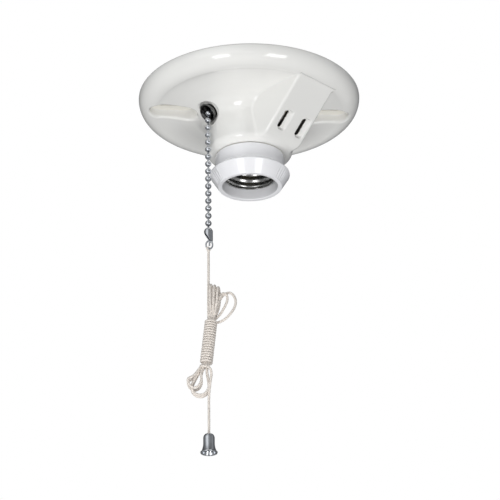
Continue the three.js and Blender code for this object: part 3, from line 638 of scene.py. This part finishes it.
# ---------- pull bell
def make_bell():
    top, height, crown, mouth, wall, hole = -189.3, 9.9, 2.75, 4.05, 0.6, 1.1
    outer = [(hole, top)]
    for i in range(12):
        a = math.radians(90 * i / 11)
        outer.append((hole + 0.25 + (crown - hole - 0.25) * math.sin(a),
                      top - 0.15 - (1 - math.cos(a)) * 2.1))
    for i in range(1, 15):
        t = i / 14
        outer.append((crown + (mouth - crown - 0.1) * max(0, (t - 0.3) / 0.7) ** 2.2,
                      top - 2.25 - (height - 2.25 - 0.5) * t))
    low = top - height
    lip = [(mouth + 0.06, low + 0.75), (mouth + 0.08, low + 0.4), (mouth - 0.08, low + 0.1),
           (mouth - 0.38, low), (mouth - 0.66, low + 0.1), (mouth - 0.8, low + 0.45)]
    inner = [(r - wall, z + 0.1) for r, z in outer[:4:-1][1:]]
    profile = outer + lip + inner + [(hole, top - 0.7)]
    verts, faces = revolve(profile, 48)
    return make_piece("bell", verts + CHAIN_LINE, faces, "bell", "nickel", ("pull_bell",))


cord, cord_line = make_cord()
eye_hitch, bell_end_knot = make_knots()
bell = make_bell()


# ---------- porcelain body
def base_profile():
    """The body's outline in radius and height, from the ceiling round the rim to the hub."""
    def arc(r, z, radius, start, end, steps):
        a = np.radians(np.linspace(start, end, steps + 1))
        return np.stack([r + radius * np.cos(a), z + radius * np.sin(a)], 1)

    roll = arc(BASE.radius - BASE.roll, -BASE.edge, BASE.roll, 0,
               -(90 + BASE.roll_end), 40)
    crease_r, crease_z = roll[-1]
    slope = math.radians(BASE.slope)
    fillet_r = HUB.radius + HUB.fillet
    fillet_z = (crease_z - (crease_r - fillet_r) * math.tan(slope)
                - HUB.fillet / math.cos(slope))
    fillet = arc(fillet_r, fillet_z, HUB.fillet, 90 + BASE.slope, 180, 24)
    edge = arc(HUB.radius - HUB.edge, -HUB.depth + HUB.edge, HUB.edge, 0, -90, 14)
    cone_r = 37
    cone = np.array([cone_r, crease_z - (crease_r - cone_r) * math.tan(slope)])
    bend = np.array([crease_r - 0.6, crease_z - 0.25])
    t = np.linspace(0, 1, 16)[:, None]
    crease = (1 - t) ** 2 * roll[-9] + 2 * t * (1 - t) * bend + t ** 2 * cone
    above = 4
    right = np.vstack([[BASE.radius, above], roll[:-9], crease, fillet, edge])
    return np.vstack([right, (right * [-1, 1])[::-1]])


BODY_DISTANCE = outline_table(base_profile(), (-1, -42), (66, 6), 0.1)
FACE_FROM = np.array([OUTLET.top_r, OUTLET.top_z])
FACE_RUN = np.array([OUTLET.bottom_r, OUTLET.bottom_z]) - FACE_FROM
FACE_ALONG = FACE_RUN / np.linalg.norm(FACE_RUN)
FACE_OUT = np.array([-FACE_ALONG[1], FACE_ALONG[0]])


def turned(x, y, azimuth):
    """Coordinates out along an azimuth and across it."""
    a = math.radians(azimuth)
    return x * math.cos(a) + y * math.sin(a), y * math.cos(a) - x * math.sin(a)


def outlet_place(x, y, z):
    """Out from the lamp's axis, across the boss, down its face and out from its face."""
    out, across = turned(x, y, OUTLET.azimuth)
    dr, dz = out - FACE_FROM[0], z - FACE_FROM[1]
    down = dr * FACE_ALONG[0] + dz * FACE_ALONG[1]
    return out, across, down, dr * FACE_OUT[0] + dz * FACE_OUT[1]


def capsule(x, y, start, end, radius):
    """Distance to a slot with round ends that lies along x."""
    return np.hypot(x - np.clip(x, start, end), y) - radius


def boss_field(out, across, z, face):
    """The outlet's boss: a wedge with drafted sides under its sloping face."""
    half = OUTLET.width / 2
    draft = math.radians(OUTLET.draft)
    sides = (np.abs(across) - half + face * math.tan(draft)) * math.cos(draft)
    d = smooth_max(face, sides, 1.3)
    d = smooth_max(d, -(z + HUB.depth - 0.6), 2.6)
    return np.maximum(np.maximum(d, 14 - out), z + 2)


def outlet_hollow_field(out, across, z, face):
    """The room behind the outlet's face, open to the hub's bore."""
    half = OUTLET.width / 2 - OUTLET.wall
    far = OUTLET.top_r + FACE_ALONG[1] * OUTLET.wall - OUTLET.wall / 2
    d = smooth_max(face + OUTLET.wall, np.abs(across) - half, 1.5)
    d = smooth_max(d, HUB_FLOOR + GAP - z, 1.5)
    return np.maximum(np.maximum(d, out - far), HUB_INNER - 1 - out)


def outlet_slot_field(down, across, face, side):
    """A blade slot with the dark pocket behind it."""
    x = down - OUTLET.slot_at
    y = across - side * OUTLET.slot_spacing / 2
    half = OUTLET.slot_width / 2 + 0.5
    length = OUTLET.slot_length / 2
    slot = smooth_max(np.abs(x) - length, np.abs(y) - half, 0.3)
    slot = np.maximum(slot, -(face + OUTLET.wall + 1))
    pocket = np.maximum(np.abs(x) - length - 0.2, np.abs(y) - half - 0.5)
    pocket = np.maximum(pocket, np.abs(face + OUTLET.wall + 0.6) - 2.6)
    return np.minimum(slot, pocket)


def outlet_scoop_field(down, across, face, side):
    """The bowl beside a blade slot, deepest at the slot and rising to the right."""
    x = down - OUTLET.slot_at
    start = side * OUTLET.slot_spacing / 2 - 0.9
    y = across - start
    reach, length, corner = 5.0, OUTLET.slot_length / 2 + 1.1, 1.8
    qx = np.abs(x) - length + corner
    qy = np.abs(y - reach / 2) - reach / 2 + corner
    edge = (np.hypot(np.maximum(qx, 0), np.maximum(qy, 0)) - corner
            + np.minimum(np.maximum(qx, qy), 0))
    floor = 2.3 * np.sqrt(np.clip(1 - (y / reach) ** 2, 0, 1))
    return smooth_max(edge, -(face + floor) * 0.8, 1.1)


def guide_axis(x, y, z):
    """Place along the chain guide's axis from its mouth, outwards, and distance from it."""
    out, across = turned(x, y, CHAIN.azimuth)
    tilt = math.radians(GUIDE.tilt)
    dx, dz = out - GUIDE.mouth_r, z - GUIDE.mouth_z
    along = dx * math.cos(tilt) - dz * math.sin(tilt)
    off = dx * math.sin(tilt) + dz * math.cos(tilt)
    return along, np.hypot(off, across)


def flare(throat, along):
    """The guide's radius at a place on its axis, for a given radius of its throat."""
    share = np.clip(along / GUIDE.flare_back + 1, 0, 1.2)
    return throat + (GUIDE.lip - GUIDE.wall - GUIDE.bore) * share ** GUIDE.flare_curve


def porcelain_field(x, y, z):
    """Signed distance, near enough, to the glazed body with all its hollows."""
    radius = np.hypot(x, y)
    d = smooth_max(BODY_DISTANCE(radius, z), z, 1.2)
    out, across, down, face = outlet_place(x, y, z)
    ledge = np.maximum(np.abs(across) - OUTLET.width / 2 - 0.2, np.abs(out - 43) - 5.6)
    d = smooth_max(d, -np.maximum(ledge, -face), 0.5)
    d = smooth_min(d, boss_field(out, across, z, face), 1.0)

    d = smooth_max(d, -np.maximum(radius - HUB_INNER, HUB_FLOOR - z), 0.8)
    opening = np.maximum(radius - COLLAR.spigot_radius - GAP, z - HUB_FLOOR - 0.1)
    d = smooth_max(d, -opening, 1.0)
    d = smooth_max(d, -outlet_hollow_field(out, across, z, face), 0.8)
    for side in (-1, 1):
        d = smooth_max(d, -outlet_scoop_field(down, across, face, side), 0.9)
        d = smooth_max(d, -outlet_slot_field(down, across, face, side), 0.3)

    dish = np.maximum(radius - (BASE.radius - BASE.rim), -BASE.cavity - z)
    for half in (0, 180):
        along, beside = turned(x, y, MOUNTING.azimuth + half)
        pad = smooth_max(np.abs(beside) - MOUNTING.pad / 2,
                         HUB.radius + HUB.wall - along, 2.0)
        dish = smooth_max(dish, -pad, 1.0)
        trough = capsule(along, beside, MOUNTING.inner, MOUNTING.outer,
                         MOUNTING.width / 2)
        d = smooth_max(d, -smooth_max(trough, z + BASE.cavity, 1.2), 1.5)
        slot = capsule(along, beside, MOUNTING.slot_inner, MOUNTING.slot_outer,
                       MOUNTING.slot_width / 2)
        d = smooth_max(d, -slot, 0.5)
    d = smooth_max(d, -dish, 1.0)

    s, off = guide_axis(x, y, z)
    pocket = smooth_max(off - GUIDE.pocket, -GUIDE.pocket_depth - s, 0.8)
    d = smooth_max(d, -pocket, 0.7)
    hole = np.maximum(off - flare(GUIDE.bore + GUIDE.wall + GAP, s), np.abs(s + 6) - 6)
    channel = np.maximum(off - GUIDE.lip,
                         np.abs(s + 13.2) - (20 - GUIDE.pocket_depth - GUIDE.seat) / 2)
    return np.maximum(smooth_max(d, -hole, 0.4), -channel)


def make_porcelain():
    reach = BASE.radius + 1.5
    step = 0.55
    low, high = (-reach, -reach, -HUB.depth - 1.2), (reach, reach, 1.2)
    verts, faces, normals = surface_nets(porcelain_field, low, high, step)
    body = make_piece("glazed_body", verts, faces, "lampholder", "porcelain",
                      ("porcelain_body",), normals)
    x, y, z = verts.T
    out, across, down, face = outlet_place(x, y, z)
    behind = (np.abs(across) < OUTLET.width / 2) & (out > HUB_INNER) & (face < -2)
    radius = np.hypot(x, y)
    # painted shade: walls round and behind the outlet's slots get 1, which the porcelain material
    # turns near black; bore, back dish and top get 0.5 for bare biscuit
    slot_shade_mask = behind & (face > -9) & (radius > HUB.radius) & (out < 40)
    slots = np.minimum(*(outlet_slot_field(down, across, face, side) for side in (-1, 1)))
    slot_shade_mask &= slots < 0.5
    in_bore = (radius < HUB_INNER + 0.4) & (z < -1)
    in_dish = (radius < BASE.radius - BASE.rim - 0.3) & (z > -BASE.cavity - 0.4)
    bisque_and_shade = np.where(slot_shade_mask, 1.0, np.where(in_bore | in_dish | (z > -0.3), 0.5, 0.0))
    layer = body.data.attributes.new("biscuit_and_slot_shade", "FLOAT", "POINT")
    layer.data.foreach_set("value", bisque_and_shade.astype(np.float32))
    return body


# ---------- lamp socket
def make_collar():
    """The ring below the hub: a plain neck, a sharp wide edge and a cone with fine grip ribs."""
    edge_z = MOUTH_Z + COLLAR.flare_up
    top = -HUB.depth - GAP
    mouth = COLLAR.bore + COLLAR.lip
    inside = top + GAP + 0.2 + COLLAR.spigot
    corners = [(COLLAR.bore, MOUTH_Z, 0.5), (mouth, MOUTH_Z, 0.45),
               (COLLAR.flare, edge_z, 0.35), (COLLAR.flare - 0.2, edge_z + 0.6, 0.35),
               (COLLAR.neck, edge_z + COLLAR.step, 1.0), (COLLAR.neck, top, 0.5),
               (COLLAR.spigot_radius, top, 0.1), (COLLAR.spigot_radius, inside, 0.3),
               (COLLAR.bore, inside, 0.3)]
    outline = round_corners(corners)
    profile = []
    for a, b in zip(outline, np.roll(outline, -1, 0)):
        pieces = max(1, int(np.linalg.norm(b - a) / 1.2))
        profile += [a + (b - a) * k / pieces for k in range(pieces)]

    def ribs(radius, height, angle):
        cone = (radius > mouth - 0.2) & (height < edge_z - 0.35) & (height > MOUTH_Z + 0.35)
        lift = np.zeros_like(radius)
        patch, rib = 12, 6
        for azimuth in (-30, -158):
            off = (np.degrees(angle) - azimuth + 180) % 360 - 180
            wave = 0.5 + 0.5 * np.cos(2 * math.pi * off / rib)
            lift += np.where(np.abs(off) < patch, wave, 0)
        fade = np.clip((edge_z - 0.35 - height) / 1.2, 0, 1)
        return radius - np.where(cone, 0.3 * lift * fade, 0), height

    verts, faces = revolve(profile, 720, ribs)
    return make_piece("socket_collar", verts, faces, "lampholder", "collar_glaze",
                      ("collar_ring",))


def make_shell():
    """The lamp's screw shell: one sheet rolled into a real helical thread, with its flange."""
    segments = 96
    angle = np.linspace(0, 2 * math.pi, segments, endpoint=False)
    middle = (SHELL.crest + SHELL.root) / 2
    depth = (SHELL.crest - SHELL.root) / 2
    threaded_low, threaded_high = SHELL_MOUTH + 1.2, SHELL_TOP - 1.6
    rows = []
    for z in np.linspace(SHELL_MOUTH, SHELL_TOP - 0.5, 96):
        fade = np.clip(min(z - threaded_low, threaded_high - z) / 1.2 + 0.5, 0, 1)
        wave = np.cos(2 * math.pi * z / SHELL.pitch - angle)
        rows.append((middle + depth * fade * wave - (1 - fade) * 0.2 * depth, z))

    def ring(radius, z):
        return np.stack([radius * np.cos(angle), radius * np.sin(angle),
                         np.full(segments, z)], 1)

    sheet = SHELL.sheet
    outer = [ring(r, z) for r, z in rows]
    flange = [ring(SHELL.root - 0.4, SHELL_TOP - 0.08), ring(SHELL.root - 0.9, SHELL_TOP),
              ring(SHELL.flange_hole, SHELL_TOP),
              ring(SHELL.flange_hole, SHELL_TOP - sheet),
              ring(SHELL.root - 1.2, SHELL_TOP - sheet)]
    inner = [ring(r - sheet, min(z, SHELL_TOP - sheet - 0.3)) for r, z in rows[::-1]]
    rings = outer + flange + inner
    faces = grid_faces(len(rings), segments, True, True)
    verts = np.vstack(rings)
    return make_piece("threaded_shell", verts, faces, "lampholder", "shell_metal",
                      ("screw_shell",))


# ---------- chain guide and beads
def guide_place(s):
    """A point on the guide's axis, s outwards from its mouth."""
    tilt = math.radians(GUIDE.tilt)
    return (CHAIN_OUT * (GUIDE.mouth_r + s * math.cos(tilt))
            + UP * (GUIDE.mouth_z - s * math.sin(tilt)))


GUIDE_DIRECTION = guide_place(1) - guide_place(0)


def make_guide():
    """A drawn trumpet of sheet metal with a rolled lip."""
    along = np.linspace(-GUIDE.flare_back, -0.1, 16)
    outer = [(GUIDE.bore + GUIDE.wall, -GUIDE.length)]
    outer += [(flare(GUIDE.bore + GUIDE.wall, s), s) for s in along]
    inner = [(flare(GUIDE.bore, s), s + 0.12) for s in along[::-1]]
    inner.append((GUIDE.bore, -GUIDE.length))
    lip_r = (outer[-1][0] + inner[0][0]) / 2
    roll = [(lip_r + 0.34 * math.cos(a), 0.12 + 0.42 * math.sin(a))
            for a in np.radians(np.linspace(-30, 210, 9))]
    verts, faces = placed(revolve(outer + roll + inner, 64), GUIDE_DIRECTION, guide_place(0))
    return make_piece("chain_funnel", verts, faces, "lampholder", "dark_nickel",
                      ("chain_guide",))


def hollow_bead():
    """A bead rolled from strip: a round hole at each pole, and the seam down one side."""
    radius, hole, sheet = CHAIN.bead, 0.62, 0.22
    start = math.asin(hole / radius)
    a = np.linspace(start, math.pi - start, 19)
    outer = [(radius * math.sin(t), radius * math.cos(t)) for t in a]
    thin = radius - sheet
    start = math.asin(hole / thin)
    b = np.linspace(math.pi - start, start, 9)
    inner = [(thin * math.sin(t), thin * math.cos(t)) for t in b]

    def seam(r, z, angle):
        off = np.abs((angle + 1.2) % (2 * math.pi) - math.pi)
        dent = np.exp(-(off / 0.07) ** 2) * 0.13
        return r - np.where(np.hypot(r, z) > thin + 0.05, dent * r / radius, 0), z
    return revolve(outer + inner, 40, seam)


BEAD = hollow_bead()


def link(start, end, stub=None, hinged=False):
    """A dumbbell wire between two bead centres, or a stub of it that leaves the first.
    A hinged wire starts outside the first bead, whose body it swings against."""
    start, end = np.asarray(start, float), np.asarray(end, float)
    length = np.linalg.norm(end - start)
    run = length if stub is None else stub
    wire, head = 0.45, 0.82
    near = CHAIN.bead + 0.06
    profile = ([(0.02, near), (wire * 0.8, near), (wire, near + 0.1)] if hinged else
               [(0.02, -0.6), (0.6, -0.6), (head, -0.4), (head, 0.1), (wire, 0.55)])
    profile.append((wire, run - 0.55))
    profile += ([(head, run - 0.1), (head, run + 0.4), (0.6, run + 0.6), (0.02, run + 0.6)]
                if stub is None else [(wire * 0.7, run - 0.3), (0.02, run - 0.2)])
    return placed(revolve(profile, 16), end - start, start)


def bead_at(centre, axis, spin):
    """A bead on a chain's axis, with its seam turned by spin degrees."""
    verts, faces = BEAD
    a = math.radians(spin)
    turn_z = np.array([[math.cos(a), -math.sin(a), 0], [math.sin(a), math.cos(a), 0], [0, 0, 1]])
    return placed((verts @ turn_z.T, faces), axis, centre)


def hang_place(index):
    """The centre of a hanging bead, counted down from the guide."""
    return CHAIN_LINE - UP * (CHAIN.top + index * CHAIN.pitch)


def make_chain():
    """The hanging beads in their hinged lengths, and the beads inside the guide."""
    down = -UP
    spins = [(index * 97) % 360 for index in range(CHAIN.count + 1)]
    lengths = (("hanging_bead_0", (0,), "chain_top", "chain_top_bead"),
               ("hanging_beads_1", range(1, 5), "chain_upper", "chain_upper"),
               ("hanging_beads_2", range(5, 10), "chain_middle", "chain_middle"),
               ("hanging_beads_3", range(10, 15), "chain_lower", "chain_lower"),
               ("held_bead", (15,), "coupling", "coupled_bead"))
    mouth = CHAIN_OUT * (CHAIN.radius - 0.3) - UP * 15.25
    throat_at = -4.85
    throat = guide_place(throat_at)
    for name, beads, body, node in lengths:
        shapes = [bead_at(hang_place(i), down, spins[i]) for i in beads]
        for i in beads:
            before = mouth if i == 0 else hang_place(i - 1)
            shapes.append(link(before, hang_place(i), hinged=i == beads[0]))
        make_piece(name, *together(*shapes), body, "nickel", (node,))
    stub = CHAIN.pitch / 2 - 0.05
    make_piece("mouth_bead_shell",
               *together(bead_at(mouth, down, 40), link(mouth, throat, stub)),
               "mouth_bead", "nickel", ("mouth_bead",))
    inner = [guide_place(throat_at - CHAIN.pitch * k) for k in (1, 2, 3)]
    make_piece("throat_bead_shell",
               *together(bead_at(throat, GUIDE_DIRECTION, 10), link(throat, mouth, stub),
                         link(throat, inner[0], stub)),
               "throat_bead", "nickel", ("throat_bead",))
    shapes = [bead_at(p, GUIDE_DIRECTION, 70 * k) for k, p in enumerate(inner)]
    shapes += [link(inner[0], throat, stub), link(inner[0], inner[1]), link(inner[1], inner[2])]
    make_piece("inner_beads", *together(*shapes), "inner_chain", "nickel", ("inner_chain",))


# ---------- coupling
def coupling_field(x, y, z):
    """A drawn cap over the last bead, open on its left side, and a flat tab with an eye.
    x is to the viewer's right, y away from the viewer and z down from the cap's top."""
    cap_r, cap_len = 2.2, 7.2
    radius = np.hypot(x, y)
    dome = np.hypot(radius, np.minimum(z - cap_r, 0)) - cap_r
    outer = np.maximum(dome, z - cap_len)
    inner = np.maximum(dome + 0.38, z - cap_len - 1)
    notch = np.maximum((3.0 + 1.5 * (x + 2.0) - z) * 0.55, x - 0.35)
    cap = smooth_max(outer, -inner, 0.2)
    cap = smooth_max(cap, -np.maximum(radius - 0.68, z - 3), 0.15)
    cap = smooth_max(cap, -notch, 0.3)
    eye_x, eye_z = 0.4, 9.4
    ring = np.hypot(x - eye_x, (z - eye_z) * 0.78) - 2.0
    eye = np.hypot(x - eye_x, (z - eye_z) * 0.72) - 1.3
    tongue = np.maximum(np.abs(x - 0.5) - 0.4, np.abs(z - 8.2) - 1.7)
    flat = np.abs(y + 0.2) - 0.5
    tab = smooth_max(smooth_max(ring, -eye, 0.3), flat, 0.35)
    tab = smooth_min(tab, smooth_max(tongue, flat + 0.15, 0.3), 0.3)
    return smooth_min(cap, tab, 0.5)


def make_coupling():
    step = 0.11
    low, high = (-2.7, -2.7, -0.4), (2.7, 2.7, 12.2)
    verts, faces, normals = surface_nets(coupling_field, low, high, step)
    top = -80.3
    flip = np.array([1, 1, -1])
    verts = verts * flip + CHAIN_LINE + UP * top
    return make_piece("bead_coupling", verts, faces[:, ::-1], "coupling", "nickel",
                      ("chain_coupling", "coupling_eye"), normals * flip)


make_porcelain()
make_collar()
make_shell()
make_guide()
make_chain()
make_coupling()


# ---------- pieces inside the body
def refine_node(name):
    """A CAD node's own shape with its flat faces cleaned and its sharp edges broken."""
    source = frame["nodes"][name]
    mesh = bmesh.new()
    mesh.from_mesh(source.data)
    bmesh.ops.remove_doubles(mesh, verts=mesh.verts, dist=1e-6)
    bmesh.ops.dissolve_limit(mesh, angle_limit=math.radians(1), verts=mesh.verts,
                             edges=mesh.edges)
    data = bpy.data.meshes.new(name + "_fine")
    mesh.to_mesh(data)
    mesh.free()
    piece = put(name + "_fine", data)
    bevel = piece.modifiers.new("broken_edges", "BEVEL")
    bevel.width = 0.12 * MM
    bevel.segments = 2
    bevel.limit_method = "ANGLE"
    bevel.angle_limit = math.radians(40)
    bevel.harden_normals = True
    shown = piece.evaluated_get(bpy.context.evaluated_depsgraph_get())
    fine = bpy.data.meshes.new_from_object(shown)
    piece.modifiers.clear()
    piece.data = fine
    smooth_by_angle(fine, 35)
    return piece


def smooth_by_angle(mesh, degrees):
    """Marks the edges that stay sharp when the rest is shaded smooth."""
    mesh.shade_smooth()
    check = bmesh.new()
    check.from_mesh(mesh)
    for edge in check.edges:
        edge.smooth = len(edge.link_faces) == 2 and edge.calc_face_angle(0) < math.radians(degrees)
    check.to_mesh(mesh)
    check.free()


BODY_OF = {node: body for body, nodes in frame["record"]["behaviour"]["bodies"].items()
           for node in nodes}
SLOT_OF = {part["node"]: part["material_slot"] for part in frame["record"]["subparts"]}
for node in sorted(set(BODY_OF) - REMADE):
    dress(refine_node(node), BODY_OF[node], SLOT_OF[node], (node,))


# ---------- studio
def make_studio():
    """White behind the object, a grey banded room in its reflections, soft boxes, a floor."""
    scene = bpy.context.scene
    scene.view_settings.view_transform = "Standard"
    world = bpy.data.worlds.new("studio")
    scene.world = world
    world.use_nodes = True
    nodes, links = world.node_tree.nodes, world.node_tree.links
    nodes.clear()
    seen = add_node(nodes, "Background", Color=(1, 1, 1, 1))
    room = add_node(nodes, "Background", Strength=1.1)
    where = nodes.new("ShaderNodeTexCoord")
    lean = nodes.new("ShaderNodeVectorMath")
    lean.operation = "DOT_PRODUCT"
    lean.inputs[1].default_value = (-0.5, -0.7, -0.5)
    ramp = nodes.new("ShaderNodeValToRGB")
    half = add_node(nodes, "MapRange", From_Min=-1)
    links.new(where.outputs["Generated"], lean.inputs[0])
    links.new(lean.outputs["Value"], half.inputs["Value"])
    links.new(half.outputs["Result"], ramp.inputs["Fac"])
    stops = ramp.color_ramp.elements
    stops[0].position, stops[0].color = 0.0, (0.2, 0.2, 0.21, 1)
    stops[1].position, stops[1].color = 1.0, (0.7, 0.7, 0.69, 1)
    for position, level in ((0.3, 0.26), (0.5, 0.4), (0.75, 0.6)):
        stops.new(position).color = (level, level, level, 1)
    apart = nodes.new("ShaderNodeSeparateXYZ")
    around = nodes.new("ShaderNodeMath")
    around.operation = "ARCTAN2"
    backwards = nodes.new("ShaderNodeMath")
    backwards.operation = "MULTIPLY"
    backwards.inputs[1].default_value = -1
    bands = add_node(nodes, "MapRange", From_Min=-math.pi, From_Max=math.pi)
    panels = nodes.new("ShaderNodeValToRGB")
    links.new(where.outputs["Generated"], apart.inputs["Vector"])
    links.new(apart.outputs["Y"], backwards.inputs[0])
    links.new(apart.outputs["X"], around.inputs[0])
    links.new(backwards.outputs["Value"], around.inputs[1])
    links.new(around.outputs["Value"], bands.inputs["Value"])
    links.new(bands.outputs["Result"], panels.inputs["Fac"])
    levels = ((0.05, 0.5), (0.2, 0.35), (0.32, 0.8), (0.37, 1.7), (0.44, 1.6), (0.49, 0.6),
              (0.6, 0.55), (0.68, 0.9), (0.74, 1.5), (0.8, 0.5), (0.95, 0.6))
    elements = panels.color_ramp.elements
    elements[0].position, elements[1].position = levels[0][0], levels[-1][0]
    for position, level in levels[1:-1]:
        elements.new(position)
    for element, (position, level) in zip(elements, levels):
        element.position = position
        element.color = (level * 0.97, level * 0.985, level, 1)
    banded = multiplied(nodes, links, ramp.outputs["Color"], panels.outputs["Color"])
    links.new(banded, room.inputs["Color"])
    path = nodes.new("ShaderNodeLightPath")
    mix = nodes.new("ShaderNodeMixShader")
    out = nodes.new("ShaderNodeOutputWorld")
    links.new(path.outputs["Is Camera Ray"], mix.inputs["Fac"])
    links.new(room.outputs["Background"], mix.inputs[1])
    links.new(seen.outputs["Background"], mix.inputs[2])
    links.new(mix.outputs["Shader"], out.inputs["Surface"])

    aim = Vector((0, 0, -0.04))
    # name, place, size, power, shown in reflections, lights matt surfaces
    boxes = (("left_box", (-0.50, -0.90, -0.68), (0.32, 0.46), 2.2, True, False),
             ("right_box", (0.50, -0.88, -0.68), (0.36, 0.46), 2.5, True, True),
             ("front_box", (0, -1.2, -0.4), (0.7, 0.4), 1.3, False, True),
             ("side_box", (-1.1, 0.1, -0.5), (0.5, 0.4), 1.3, False, True),
             ("low_box", (-0.15, -0.45, -1.0), (0.6, 0.4), 5.2, False, True),
             ("back_box", (0.3, 0.8, 0.8), (0.7, 0.7), 3.0, False, True))
    for name, place, size, power, glossy, diffuse in boxes:
        light = bpy.data.lights.new(name, "AREA")
        light.shape = "RECTANGLE"
        light.size, light.size_y = size
        light.energy = power
        lamp = put(name, light)
        lamp.location = place
        lamp.rotation_euler = (aim - Vector(place)).to_track_quat("-Z", "Y").to_euler()
        lamp.visible_glossy = glossy
        lamp.visible_diffuse = diffuse

    mesh = bpy.data.meshes.new("floor")
    reach, height = 4, -1.6
    mesh.from_pydata([(x * reach, y * reach, height) for x, y in
                      ((-1, -1), (1, -1), (1, 1), (-1, 1))], [], [(0, 1, 2, 3)])
    floor = put("floor", mesh)
    pale = bpy.data.materials.new("floor")
    pale.use_nodes = True
    fill(pale.node_tree.nodes["Principled BSDF"],
         dict(Base_Color=(0.8, 0.8, 0.8, 1), Roughness=0.9))
    mesh.materials.append(pale)


make_studio()
